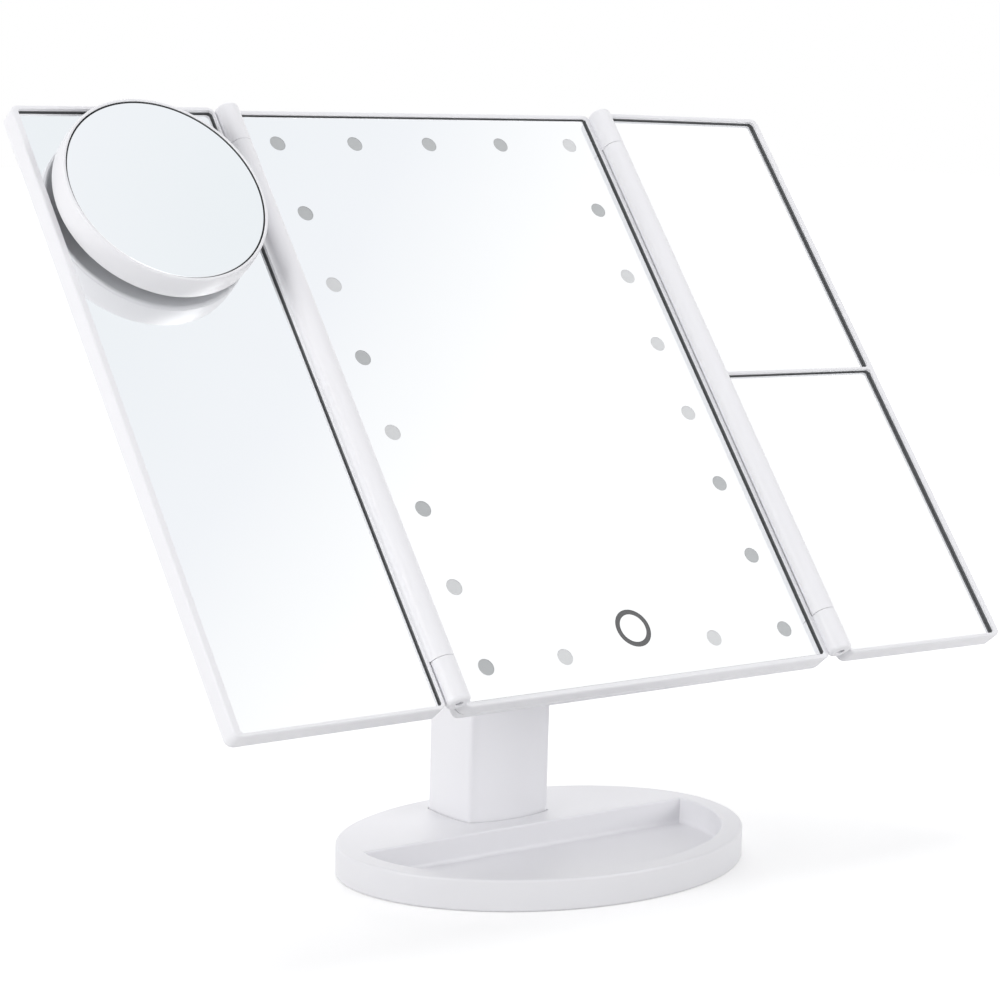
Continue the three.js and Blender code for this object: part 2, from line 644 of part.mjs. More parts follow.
/** Tray that holds the cells, open toward the door. */
function buildBatteryHolder() {
  const top = HOLDER_FLOOR_Z + HOLDER_HEIGHT;
  const front = HOLDER_BACK_Y - HOLDER_DEPTH;
  const outside = block(-HOLDER_WIDTH / 2, HOLDER_WIDTH / 2, front, HOLDER_BACK_Y, HOLDER_FLOOR_Z, top);
  const inside = block(
    -HOLDER_WIDTH / 2 + HOLDER_WALL, HOLDER_WIDTH / 2 - HOLDER_WALL,
    front + HOLDER_WALL, HOLDER_BACK_Y + OVERCUT,
    HOLDER_FLOOR_Z + HOLDER_WALL, top - HOLDER_WALL,
  );
  return outside.subtract(inside);
}

/** One cell with its raised end up. */
function buildCell() {
  const profile = [
    [0, 0],
    [CELL_RADIUS, 0],
    [CELL_RADIUS, CELL_LENGTH],
    [CELL_NUB_RADIUS, CELL_LENGTH],
    [CELL_NUB_RADIUS, CELL_LENGTH + CELL_NUB],
    [0, CELL_LENGTH + CELL_NUB],
  ];
  return turned(profile, MIDDLE_ROUND);
}

function addBatteries() {
  piece(mirror, 'battery_holder', buildBatteryHolder(), INNER_PLASTIC);
  for (const side of [-1, 1]) {
    const name = side < 0 ? 'left' : 'right';
    const x = (side * CELL_PITCH) / 2;
    for (let row = 0; row < CELL_ROWS; row += 1) {
      const bottom = CELL_BOTTOM + row * (CELL_LENGTH + CELL_NUB + FIT);
      const place = row === 0 ? 'lower' : 'upper';
      const cell = piece(mirror, `battery_${name}_${place}`, buildCell(), CELL_SLEEVE);
      cell.position.set(x, CELL_Y, bottom);
      if (side < 0) {
        cell.rotation.y = Math.PI;
        cell.position.z = bottom + CELL_LENGTH + CELL_NUB;
      }
    }
    const topPlate = HOLDER_FLOOR_Z + HOLDER_HEIGHT - HOLDER_WALL - FIT;
    const contact = block(
      x - CONTACT_WIDTH / 2, x + CONTACT_WIDTH / 2,
      CELL_Y - CONTACT_WIDTH / 2, CELL_Y + CONTACT_WIDTH / 2,
      topPlate - CONTACT_THICKNESS, topPlate,
    );
    piece(mirror, `battery_contact_top_${name}`, contact, STEEL);
  }
  piece(mirror, 'battery_contact_bottom', buildBottomContact(), STEEL);
}

/** Strip under both stacks with a conical spring seat for each. */
function buildBottomContact() {
  const bottom = HOLDER_FLOOR_Z + HOLDER_WALL + FIT;
  const half = (CELL_PITCH + CONTACT_WIDTH) / 2;
  const depth = CONTACT_WIDTH / 2;
  let strip = block(-half, half, CELL_Y - depth, CELL_Y + depth, bottom, bottom + CONTACT_THICKNESS);
  for (const side of [-1, 1]) {
    const base = bottom + CONTACT_THICKNESS / 2;
    const rise = CONTACT_SPRING + CONTACT_THICKNESS / 2;
    const cone = new THREE.CylinderGeometry(CELL_NUB_RADIUS, CONTACT_WIDTH / 2 - FIT, rise, SMALL_ROUND);
    cone.rotateX(Math.PI / 2).translate((side * CELL_PITCH) / 2, CELL_Y, base + rise / 2);
    strip = strip.add(solid(cone));
  }
  return strip;
}

/** Metal power socket with its tongue. */
function buildInlet() {
  const back = COLUMN_BACK_Y - FIT;
  const front = back - INLET_DEPTH;
  const x = INLET_WIDTH / 2;
  const z = INLET_HEIGHT / 2;
  const can = block(-x, x, front, back, INLET_Z - z, INLET_Z + z);
  const mouth = block(
    -x + INLET_WALL, x - INLET_WALL,
    front + 2 * INLET_WALL, back + OVERCUT,
    INLET_Z - z + INLET_WALL, INLET_Z + z - INLET_WALL,
  );
  const tongue = block(
    -x + 3 * INLET_WALL, x - 3 * INLET_WALL,
    front, back - 2 * INLET_WALL,
    INLET_Z - INLET_WALL / 2, INLET_Z + INLET_WALL / 2,
  );
  return can.subtract(mouth).add(tongue);
}

function addColumn() {
  piece(mirror, 'column_shell', buildColumnShell(), WHITE_PLASTIC);
  piece(mirror, 'battery_door', buildBatteryDoor(), WHITE_PLASTIC);
  piece(mirror, 'power_inlet', buildInlet(), STEEL);
  for (const side of [-1, 1]) {
    const screw = upScrew(
      side * COLUMN_BOSS_X, COLUMN_Y, BASE_CEILING - COLUMN_SCREW_HEAD,
      COLUMN_SCREW_HEAD_RADIUS, COLUMN_SCREW_HEAD, COLUMN_SCREW_RADIUS, COLUMN_SCREW_LENGTH,
    );
    piece(mirror, side < 0 ? 'column_screw_left' : 'column_screw_right', screw, STEEL);
  }
}

// Tilt hinge

function buildAxle() {
  const shank = rodX(AXLE_RADIUS, PIVOT_Y, PIVOT_Z, -AXLE_SHOULDER_X, AXLE_SHOULDER_X - FIT);
  const cap = rodX(AXLE_HEAD_RADIUS, PIVOT_Y, PIVOT_Z, -AXLE_SHOULDER_X - AXLE_HEAD, -AXLE_SHOULDER_X);
  return shank.add(cap);
}

function buildWasher(side) {
  const inner = TONGUE_WIDTH / 2 + FIT;
  const x0 = side < 0 ? -inner - WASHER_THICKNESS : inner;
  const x1 = x0 + WASHER_THICKNESS;
  const disc = rodX(WASHER_RADIUS, PIVOT_Y, PIVOT_Z, x0, x1, MIDDLE_ROUND);
  const hole = rodX(AXLE_RADIUS + FIT, PIVOT_Y, PIVOT_Z, x0 - OVERCUT, x1 + OVERCUT, MIDDLE_ROUND);
  return disc.subtract(hole);
}

/** Flat cap that closes the bore on one side of the column. */
function buildAxleCap(side) {
  const inner = AXLE_SHOULDER_X + AXLE_HEAD + FIT;
  const x0 = side < 0 ? -AXLE_CAP_X : inner;
  const x1 = side < 0 ? -inner : AXLE_CAP_X;
  return rodX(AXLE_CAP_RADIUS, PIVOT_Y, PIVOT_Z, x0, x1);
}

/** Nut on the right end of the axle, six sided. */
function buildAxleNut() {
  const x0 = AXLE_SHOULDER_X;
  return rodX(AXLE_HEAD_RADIUS, PIVOT_Y, PIVOT_Z, x0, x0 + AXLE_HEAD, 6);
}

/** Plate on the back of the head with the tongue that grips the axle. */
function buildTiltBracket() {
  const plateShape = roundedRectangle(BRACKET_WIDTH, BRACKET_HEIGHT, BRACKET_CORNER);
  const plate = slab(plateShape, SHELL_BACK_Y - BRACKET_THICKNESS, SHELL_BACK_Y);
  const root = SHELL_BACK_Y - BRACKET_THICKNESS / 2;
  const tangent = Math.acos(TONGUE_RADIUS / Math.hypot(SHELL_BACK_Y, TONGUE_ROOT));
  const lean = Math.atan2(TONGUE_ROOT, -SHELL_BACK_Y);
  const start = Math.PI - lean - tangent;
  const tongue = new THREE.Shape();
  tongue.moveTo(root, -TONGUE_ROOT);
  tongue.lineTo(SHELL_BACK_Y, -TONGUE_ROOT);
  tongue.absarc(0, 0, TONGUE_RADIUS, -start, start, false);
  tongue.lineTo(SHELL_BACK_Y, TONGUE_ROOT);
  tongue.lineTo(root, TONGUE_ROOT);
  const blade = sidePrism(tongue, -TONGUE_WIDTH / 2, TONGUE_WIDTH / 2, ROUND);
  let bracket = plate.add(blade).subtract(rodX(AXLE_RADIUS + FIT, 0, 0, -TONGUE_WIDTH, TONGUE_WIDTH));
  for (const [x, z] of bracketScrews()) {
    bracket = bracket.subtract(rodY(SCREW_RADIUS + SCREW_FIT, x, z, WELL_TOP_Y, SHELL_BACK_Y + OVERCUT));
  }
  return bracket;
}

function bracketScrews() {
  const places = [];
  for (const x of [-BRACKET_SCREW_X, BRACKET_SCREW_X]) {
    for (const z of [-BRACKET_SCREW_Z, BRACKET_SCREW_Z]) {
      places.push([x, z]);
    }
  }
  return places;
}

function addTiltHinge() {
  piece(mirror, 'tilt_axle', buildAxle(), STEEL);
  piece(mirror, 'tilt_axle_nut', buildAxleNut(), STEEL);
  for (const side of [-1, 1]) {
    const name = side < 0 ? 'left' : 'right';
    piece(mirror, `friction_washer_${name}`, buildWasher(side), STEEL);
    piece(mirror, `axle_cap_${name}`, buildAxleCap(side), WHITE_PLASTIC);
  }
  piece(head, 'tilt_bracket', buildTiltBracket(), WHITE_PLASTIC);
  bracketScrews().forEach(([x, z], index) => {
    const bottom = SHELL_BACK_Y + FIT;
    const cap = rodY(SCREW_HEAD_RADIUS, x, z, bottom, bottom + SCREW_HEAD);
    const shank = rodY(SCREW_RADIUS, x, z, WELL_TOP_Y + FIT, bottom + SCREW_HEAD / 2);
    piece(head, `bracket_screw_${index + 1}`, cap.add(shank), STEEL);
  });
}

// Centre panel, about the middle of the panel

/** Places of the lights round the edge: x and z, with the bottom middle left free. */
function lightPlaces() {
  const places = [];
  for (let column = 0; column < LIGHT_COLUMNS; column += 1) {
    for (let row = 0; row < LIGHT_ROWS; row += 1) {
      const onSide = column === 0 || column === LIGHT_COLUMNS - 1;
      const onEnd = row === 0 || row === LIGHT_ROWS - 1;
      const free = column === (LIGHT_COLUMNS - 1) / 2 && row === 0;
      if ((onSide || onEnd) && !free) {
        const x = (column - (LIGHT_COLUMNS - 1) / 2) * LIGHT_PITCH_X;
        const z = (row - (LIGHT_ROWS - 1) / 2) * LIGHT_PITCH_Z;
        places.push([x, z]);
      }
    }
  }
  return places;
}

/** Seats for the glass and the window behind it. */
function buildCentreFrame() {
  const front = GLASS_FACE_Y - CENTRE_LIP_RISE;
  const outline = roundedRectangle(PANEL_WIDTH, PANEL_HEIGHT, PANEL_CORNER);
  const pocket = roundedRectangle(POCKET_WIDTH, POCKET_HEIGHT, GLASS_CORNER);
  const window = roundedRectangle(
    POCKET_WIDTH - 2 * CENTRE_WINDOW_LEDGE, POCKET_HEIGHT - 2 * CENTRE_WINDOW_LEDGE, GLASS_CORNER,
  );
  let frame = slab(outline, front, FRAME_BACK_Y, PANEL_EDGE);
  frame = frame.subtract(slab(pocket, front - OVERCUT, GLASS_FACE_Y + GLASS_THICKNESS + FIT));
  frame = frame.subtract(slab(window, front - OVERCUT, FRAME_BACK_Y + OVERCUT));
  for (const side of [-1, 1]) {
    const x = side * HINGE_X;
    const cove = MIDDLE_KNUCKLE / 2 + KNUCKLE_GAP;
    frame = frame.subtract(rodZ(KNUCKLE_RADIUS + KNUCKLE_COVE, x, HINGE_Y, -cove, cove, ROUND));
    for (const end of [-1, 1]) {
      frame = frame.add(endKnuckle(side, end));
    }
  }
  for (const side of [-1, 1]) {
    frame = frame.subtract(rodZ(PIN_RADIUS + FIT, side * HINGE_X, HINGE_Y, -PANEL_HEIGHT, PANEL_HEIGHT));
  }
  return frame;
}

/** One short knuckle with the web that ties it to the frame. */
function endKnuckle(side, end) {
  const x = side * HINGE_X;
  const inner = end * END_KNUCKLE_START;
  const outer = end * (END_KNUCKLE_START + END_KNUCKLE);
  const z0 = Math.min(inner, outer);
  const z1 = Math.max(inner, outer);
  const barrel = rodZ(KNUCKLE_RADIUS, x, HINGE_Y, z0, z1, ROUND);
  const webEnd = end * (PANEL_HEIGHT / 2 - PANEL_EDGE);
  const lipX = side * (POCKET_WIDTH / 2 + LIP / 2);
  const web = block(
    Math.min(x, lipX), Math.max(x, lipX),
    GLASS_FACE_Y - CENTRE_LIP_RISE, HINGE_Y + KNUCKLE_RADIUS - FIT,
    Math.min(inner, webEnd), Math.max(inner, webEnd),
  );
  return barrel.add(web);
}

function buildCentreGlass() {
  const shape = roundedRectangle(POCKET_WIDTH - 2 * FIT, POCKET_HEIGHT - 2 * FIT, GLASS_CORNER);
  let glass = slab(shape, GLASS_FACE_Y, GLASS_FACE_Y + GLASS_THICKNESS);
  const depth = GLASS_FACE_Y + ETCH_DEPTH;
  for (const [x, z] of lightPlaces()) {
    glass = glass.subtract(rodY(LIGHT_RADIUS, x, z, GLASS_FACE_Y - OVERCUT, depth, LIGHT_STEPS));
  }
  const ring = rodY(RING_RADIUS, 0, RING_Z, GLASS_FACE_Y - OVERCUT, depth, ROUND);
  const inner = RING_RADIUS - RING_WIDTH;
  const middle = rodY(inner, 0, RING_Z, GLASS_FACE_Y - 2 * OVERCUT, depth + OVERCUT, ROUND);
  return glass.subtract(ring.subtract(middle));
}

/** Board ring with the lights soldered on. */
function buildLedBoard() {
  const width = PANEL_WIDTH - 2 * (SHELL_INSET + FIT);
  const height = PANEL_HEIGHT - 2 * (SHELL_INSET + FIT);
  const outline = roundedRectangle(width, height, PANEL_CORNER);
  const innerTop = height / 2 - LED_BOARD_BAND;
  const innerLow = RING_Z + RING_RADIUS;
  const hole = roundedRectangle(
    width - 2 * LED_BOARD_BAND, innerTop - innerLow, GLASS_CORNER,
    0, (innerTop + innerLow) / 2,
  );
  let board = slab(outline, BOARD_FRONT_Y, BOARD_BACK_Y);
  board = board.subtract(slab(hole, BOARD_FRONT_Y - OVERCUT, BOARD_BACK_Y + OVERCUT));
  const half = LED_WIDTH / 2;
  for (const [x, z] of lightPlaces()) {
    const front = BOARD_FRONT_Y - LED_HEIGHT;
    board = board.add(block(x - half, x + half, front, BOARD_FRONT_Y + FIT, z - half, z + half));
  }
  return board;
}

/** Foam disc that brings the touch ring's field from the board to the glass. */
function buildTouchPad() {
  return rodY(TOUCH_PAD_RADIUS, 0, RING_Z, GLASS_FACE_Y + GLASS_THICKNESS + FIT, BOARD_FRONT_Y - FIT, ROUND);
}

function buildControlBoard() {
  const z = RING_Z;
  const back = SHELL_FLOOR_Y - FIT;
  const x = CONTROL_WIDTH / 2;
  const half = CONTROL_HEIGHT / 2;
  const board = block(-x, x, back - CONTROL_THICKNESS, back, z - half, z + half);
  const chipFront = back - CONTROL_THICKNESS - CONTROL_CHIP;
  const chip = block(-x / 3, x / 3, chipFront, back - CONTROL_THICKNESS / 2, z - half / 2, z + half / 2);
  return board.add(chip);
}

/** Back cover: eased rim, posts under the board and a well for the tilt bracket. */
function buildBackShell() {
  const outline = roundedRectangle(PANEL_WIDTH, PANEL_HEIGHT, PANEL_CORNER);
  const skirt = slab(outline, SHELL_FRONT_Y, SHELL_BACK_Y - SHELL_EDGE);
  const dish = slab(outline, SHELL_FRONT_Y, SHELL_BACK_Y, SHELL_EDGE);
  const hollowShape = roundedRectangle(
    PANEL_WIDTH - 2 * SHELL_INSET, PANEL_HEIGHT - 2 * SHELL_INSET, PANEL_CORNER,
  );
  let shell = skirt.add(dish).subtract(slab(hollowShape, SHELL_FRONT_Y - OVERCUT, SHELL_FLOOR_Y));
  const wellWidth = BRACKET_WIDTH + 2 * (FIT + WELL_WALL);
  const wellHeight = BRACKET_HEIGHT + 2 * (FIT + WELL_WALL);
  const well = roundedRectangle(wellWidth, wellHeight, BRACKET_CORNER, 0, -PANEL_RISE);
  const seatWidth = BRACKET_WIDTH + 2 * FIT;
  const seatHeight = BRACKET_HEIGHT + 2 * FIT;
  const seat = roundedRectangle(seatWidth, seatHeight, BRACKET_CORNER, 0, -PANEL_RISE);
  shell = shell.add(slab(well, WELL_TOP_Y, SHELL_FLOOR_Y + SHELL_WALL / 2));
  shell = shell.subtract(slab(seat, WELL_FLOOR_Y, SHELL_BACK_Y + OVERCUT));
  for (const [x, z] of bracketScrews()) {
    const hole = rodY(SCREW_RADIUS + SCREW_FIT, x, z - PANEL_RISE, WELL_TOP_Y - OVERCUT, SHELL_BACK_Y);
    shell = shell.subtract(hole);
  }
  for (const [x, z] of boardPosts()) {
    shell = shell.add(rodY(SHELL_POST_RADIUS, x, z, BOARD_BACK_Y + FIT, SHELL_FLOOR_Y + SHELL_WALL / 2));
  }
  const reach = (SWITCH_KNOB + SWITCH_TRAVEL) / 2 + FIT;
  const half = SWITCH_KNOB / 2 + FIT;
  const slot = block(
    SWITCH_X - reach, SWITCH_X + reach,
    SHELL_FLOOR_Y - OVERCUT, SHELL_BACK_Y + OVERCUT,
    SWITCH_Z - half, SWITCH_Z + half,
  );
  return shell.subtract(slot);
}

/** Posts of the back cover that carry the light board, one near each light of the side columns. */
function boardPosts() {
  const x = ((LIGHT_COLUMNS - 1) / 2) * LIGHT_PITCH_X;
  const places = [];
  for (const side of [-1, 1]) {
    for (const row of [-2.5, 0.5, 2.5]) {
      places.push([side * x, row * LIGHT_PITCH_Z]);
    }
  }
  return places;
}

/** Slide switch: a flange inside the cover and a knob through its slot, at the off end. */
function buildSwitch() {
  const x = SWITCH_X - SWITCH_TRAVEL / 2;
  const half = SWITCH_KNOB / 2;
  const wide = half + SWITCH_FLANGE;
  const flangeBack = SHELL_FLOOR_Y - FIT;
  const flangeFront = flangeBack - SWITCH_PLATE;
  const flange = block(x - wide, x + wide, flangeFront, flangeBack, SWITCH_Z - wide, SWITCH_Z + wide);
  const knobBack = SHELL_BACK_Y + SWITCH_PROUD;
  const knob = block(x - half, x + half, flangeFront, knobBack, SWITCH_Z - half, SWITCH_Z + half);
  return flange.add(knob);
}

function addCentrePanel() {
  piece(panel, 'centre_frame', buildCentreFrame(), WHITE_PLASTIC);
  piece(panel, 'centre_glass', buildCentreGlass(), MIRROR);
  piece(panel, 'led_board', buildLedBoard(), BOARD);
  piece(panel, 'touch_sensor_pad', buildTouchPad(), FOAM);
  piece(panel, 'control_board', buildControlBoard(), CONTROL_BOARD);
  piece(panel, 'centre_back_shell', buildBackShell(), WHITE_PLASTIC);
  piece(panel, 'power_switch', buildSwitch(), SWITCH_PLASTIC);
}

function addHingePins() {
  const inner = MIDDLE_KNUCKLE / 2 - PIN_GRIP;
  const outer = END_KNUCKLE_START + END_KNUCKLE - PIN_INSET;
  for (const side of [-1, 1]) {
    for (const end of [-1, 1]) {
      const name = `hinge_pin_${side < 0 ? 'left' : 'right'}_${end < 0 ? 'bottom' : 'top'}`;
      const z0 = end < 0 ? -outer : inner;
      const z1 = end < 0 ? -inner : outer;
      piece(panel, name, rodZ(PIN_RADIUS, side * HINGE_X, HINGE_Y, z0, z1), STEEL);
    }
  }
}

// Wings, about the hinge axis, drawn for the right side with their lip in the plane of the axis

/** Heights of the glasses of a wing: the middle and the size of each pocket. */
function wingPockets(count) {
  const height = (POCKET_HEIGHT - (count - 1) * DIVIDER) / count;
  const pockets = [];
  for (let i = 0; i < count; i += 1) {
    const z = (i - (count - 1) / 2) * (height + DIVIDER);
    pockets.push({ z, height });
  }
  return pockets;
}

/** Outline of the small fillet between the long knuckle and the lip. */
function knuckleFillet() {
  const start = Math.asin((HINGE_AHEAD - CENTRE_LIP_RISE - FIT) / KNUCKLE_RADIUS);
  const shape = new THREE.Shape();
  shape.moveTo(0, 0);
  shape.lineTo(KNUCKLE_RADIUS * Math.cos(start), -KNUCKLE_RADIUS * Math.sin(start));
  shape.quadraticCurveTo(WING_GAP, 0, WING_GAP + WING_FILLET, 0);
  shape.lineTo(WING_GAP + WING_FILLET, KNUCKLE_RADIUS - FIT);
  shape.lineTo(0, KNUCKLE_RADIUS - FIT);
  return shape;
}

function buildWingFrame(glasses) {
  const outline = roundedRectangle(WING_WIDTH, PANEL_HEIGHT, PANEL_CORNER, WING_MIDDLE_X, 0);
  let frame = slab(outline, 0, WING_DEPTH, PANEL_EDGE);
  const half = MIDDLE_KNUCKLE / 2;
  frame = frame.add(rodZ(KNUCKLE_RADIUS, 0, 0, -half, half, ROUND));
  frame = frame.add(prism(knuckleFillet(), -half, half));
  for (const { z, height } of wingPockets(glasses)) {
    const pocket = roundedRectangle(WING_POCKET_WIDTH, height, GLASS_CORNER, WING_MIDDLE_X, z);
    frame = frame.subtract(slab(pocket, -OVERCUT, WING_POCKET_DEPTH));
  }
  frame = frame.subtract(backPanelSolid(0, WING_DEPTH - WING_PANEL_THICKNESS - FIT, WING_DEPTH + OVERCUT));
  frame = frame.subtract(backPanelSolid(WING_PANEL_LEDGE, WING_POCKET_DEPTH + WING_FLOOR, WING_DEPTH));
  for (const end of [-1, 1]) {
    const z0 = end < 0 ? -half - OVERCUT : half - PIN_GRIP - FIT;
    const z1 = end < 0 ? -half + PIN_GRIP + FIT : half + OVERCUT;
    frame = frame.subtract(rodZ(PIN_RADIUS + FIT, 0, 0, z0, z1));
  }
  return frame;
}

function backPanelSolid(inset, yFront, yBack) {
  const margin = WING_PANEL_MARGIN + inset;
  const width = WING_WIDTH - 2 * margin;
  const height = PANEL_HEIGHT - 2 * margin;
  return slab(roundedRectangle(width, height, GLASS_CORNER, WING_MIDDLE_X, 0), yFront, yBack);
}

function buildWingGlass({ z, height }) {
  const width = WING_POCKET_WIDTH - 2 * FIT;
  const shape = roundedRectangle(width, height - 2 * FIT, GLASS_CORNER, WING_MIDDLE_X, z);
  return slab(shape, WING_GLASS_DROP, WING_GLASS_DROP + GLASS_THICKNESS);
}

function addWings() {
  piece(rightWing, 'right_wing_frame', buildWingFrame(2), WHITE_PLASTIC);
  const [lower, upper] = wingPockets(2);
  piece(rightWing, 'right_wing_glass_lower', buildWingGlass(lower), MIRROR);
  piece(rightWing, 'right_wing_glass_upper', buildWingGlass(upper), MIRROR);
  const back = backPanelSolid(FIT, WING_DEPTH - WING_PANEL_THICKNESS, WING_DEPTH);
  piece(rightWing, 'right_wing_back_panel', back, WHITE_PLASTIC);
  piece(leftWing, 'left_wing_frame', mirrored(buildWingFrame(1)), WHITE_PLASTIC);
  piece(leftWing, 'left_wing_glass', mirrored(buildWingGlass(wingPockets(1)[0])), MIRROR);
  piece(leftWing, 'left_wing_back_panel', mirrored(back), WHITE_PLASTIC);
}

// Spot mirror, with heights above the glass of the left wing

function buildSpotHousing() {
  const top = SPOT_STANDOFF + SPOT_DEPTH;
  const waist = SPOT_RADIUS - SPOT_BULGE;
  const seat = top - SPOT_GLASS_DROP - SPOT_GLASS_THICKNESS - FIT;
  const pocketRadius = CUP_RADIUS + FIT + SEAM;
  return turned([
    [0, SPOT_STANDOFF + CUP_POCKET],
    [pocketRadius, SPOT_STANDOFF + CUP_POCKET],
    [pocketRadius, SPOT_STANDOFF],
    [waist - SPOT_RIM, SPOT_STANDOFF],
    [waist, SPOT_STANDOFF + SPOT_RIM],
    [SPOT_RADIUS, SPOT_STANDOFF + SPOT_DEPTH / 2],
    [waist, top - SPOT_RIM / 2],
    [waist - SPOT_RIM / 3, top],
    [waist - SPOT_RIM, top],
    [waist - SPOT_RIM, seat],
    [0, seat],
  ], SPOT_STEPS);
}

/** Magnifying glass: its face is dished. */
function buildSpotGlass() {
  const top = SPOT_STANDOFF + SPOT_DEPTH - SPOT_GLASS_DROP;
  const radius = SPOT_RADIUS - SPOT_BULGE - SPOT_RIM - SEAM;
  const profile = [
    [0, top - SPOT_GLASS_THICKNESS],
    [radius, top - SPOT_GLASS_THICKNESS],
  ];
  for (let i = DISH_STEPS; i >= 0; i -= 1) {
    const share = i / DISH_STEPS;
    profile.push([radius * share, top - SPOT_GLASS_DISH * (1 - share * share)]);
  }
  return turned(profile, SPOT_STEPS);
}

/** Suction cup: a thin skirt that spreads on the wing glass and a neck in the housing. */
function buildSuctionCup() {
  const ceiling = SPOT_STANDOFF + CUP_POCKET - FIT;
  return turned([
    [0, 2 * FIT],
    [CUP_RADIUS - SPOT_RIM, FIT],
    [CUP_RADIUS, FIT],
    [CUP_RADIUS, 2 * FIT],
    [CUP_NECK_RADIUS, ceiling / 2],
    [CUP_NECK_RADIUS, ceiling],
    [0, ceiling],
  ], ROUND + CORNER_STEPS);
}

function addSpotMirror() {
  piece(spotMirror, 'spot_mirror_housing', buildSpotHousing(), WHITE_PLASTIC);
  piece(spotMirror, 'spot_mirror_glass', buildSpotGlass(), MIRROR);
  piece(spotMirror, 'suction_cup', buildSuctionCup(), CUP_RUBBER);
}

addBase();
addColumn();
addBatteries();
addTiltHinge();
addCentrePanel();
addHingePins();
addWings();
addSpotMirror();

export default mirror;
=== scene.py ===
"""Looks of a trifold vanity mirror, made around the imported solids.

Sizes in the classes are millimetres. They become metres when a mesh is placed in the frame.
"""

import logging
from dataclasses import dataclass
from enum import Enum

import bmesh
import bpy
import numpy as np
from mathutils import Matrix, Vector
from mathutils.geometry import tessellate_polygon


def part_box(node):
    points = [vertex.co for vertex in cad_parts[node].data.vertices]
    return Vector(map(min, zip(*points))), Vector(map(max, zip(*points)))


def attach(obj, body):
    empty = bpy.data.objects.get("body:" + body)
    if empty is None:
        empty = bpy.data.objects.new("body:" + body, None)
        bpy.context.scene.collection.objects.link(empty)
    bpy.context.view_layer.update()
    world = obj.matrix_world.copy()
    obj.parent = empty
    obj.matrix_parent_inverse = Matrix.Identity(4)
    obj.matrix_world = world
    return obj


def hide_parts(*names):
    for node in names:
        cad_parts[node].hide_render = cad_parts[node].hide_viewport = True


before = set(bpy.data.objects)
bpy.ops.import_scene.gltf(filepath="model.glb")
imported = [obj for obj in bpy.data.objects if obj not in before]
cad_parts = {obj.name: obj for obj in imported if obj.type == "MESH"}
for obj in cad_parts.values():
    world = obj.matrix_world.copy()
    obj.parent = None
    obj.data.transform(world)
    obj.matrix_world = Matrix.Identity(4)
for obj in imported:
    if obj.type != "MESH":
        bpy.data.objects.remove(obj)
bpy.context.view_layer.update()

LOG = logging.getLogger("mirror")
Array = np.ndarray

MM = 0.001
FIT = 0.3
SEAM = 0.4
HOLD = 0.04
CREASE = np.radians(33.0)
WELD = 2e-7
CORNER_STEPS = 8
ROUND_STEPS = 48
HERE = np.eye(4)
SIDES = (("left", -1), ("right", 1))


# Paths and placing


class Axis(Enum):
    """Direction in which a stack of flat rings stands."""

    X = 0
    Y = 1
    Z = 2


def shifted(x: float = 0.0, y: float = 0.0, z: float = 0.0) -> Array:
    """Matrix that moves by x, y and z."""
    return np.array(Matrix.Translation((x, y, z)))


def turned_about(axis: Axis, degrees: float) -> Array:
    """Matrix that turns about an axis through the origin."""
    return np.array(Matrix.Rotation(np.radians(degrees), 4, axis.name))


def moved(points: Array, matrix: Array) -> Array:
    """Points of any array shape, moved by a matrix."""
    return points @ matrix[:3, :3].T + matrix[:3, 3]


@dataclass(frozen=True)
class Place:
    """Where a sub-assembly stands, as a matrix in millimetres, and the body that it rides on."""

    matrix: Array
    body: str

    def at(self, matrix: Array, body: str = "") -> "Place":
        """The same place with a further matrix inside it, and another body where one is named."""
        return Place(self.matrix @ matrix, body or self.body)

    def world(self, points: Array) -> Array:
        """Points of the sub-assembly in the row frame, in metres."""
        return moved(points, self.matrix) * MM


def rounded_path(corners: list[tuple[float, float, float]], steps: int = 5) -> Array:
    """Broken line with round corners.

    At a corner with a radius, a circular arc touches both sides of the corner: its points are the centre
    plus the two touching radii, mixed by sines of their share of the turn. A holding point stands just
    outside each end of the arc, so that the flat sides shade flat.

    Args:
        corners: two coordinates and a radius for each corner.
        steps: pieces of each arc.

    Returns:
        Points of the line, one row each.
    """
    points = np.array([c[:2] for c in corners], float)
    rows = [points[:1]]
    for before, corner, after, (_, _, radius) in zip(points, points[1:], points[2:], corners[1:]):
        if radius <= 0:
            rows.append(corner[None])
            continue
        back = (before - corner) / np.linalg.norm(before - corner)
        on = (after - corner) / np.linalg.norm(after - corner)
        half = 0.5 * np.arccos(np.clip(back @ on, -1, 1))
        reach = radius / np.tan(half)
        middle = corner + (back + on) / np.linalg.norm(back + on) * radius / np.sin(half)
        first = corner + back * reach - middle
        last = corner + on * reach - middle
        turn = np.pi - 2 * half
        share = np.linspace(0, 1, steps + 1)[:, None]
        arc = (np.sin((1 - share) * turn) * first + np.sin(share * turn) * last) / np.sin(turn)
        rows += [[corner + back * (reach + HOLD)], middle + arc, [corner + on * (reach + HOLD)]]
    rows.append(points[-1:])
    return np.concatenate(rows)


def slab_edge(low: float, high: float, low_ease: float, high_ease: float, steps: int = 3) -> Array:
    """Edge of a slab, from its low face up to its high one.

    Args:
        low: level of the low face.
        high: level of the high face.
        low_ease: radius of the edge at the low face.
        high_ease: radius of the edge at the high face.
        steps: pieces of each round edge.

    Returns:
        An inset and a level in each row.
    """
    return rounded_path([(1, low, 0), (0, low, low_ease), (0, high, high_ease), (1, high, 0)], steps)[1:-1]


def straight_edge(low: float, high: float) -> Array:
    """Edge of a slab with sharp corners, as an inset and a level in each row."""
    return np.array([(0, low), (0, high)], float)


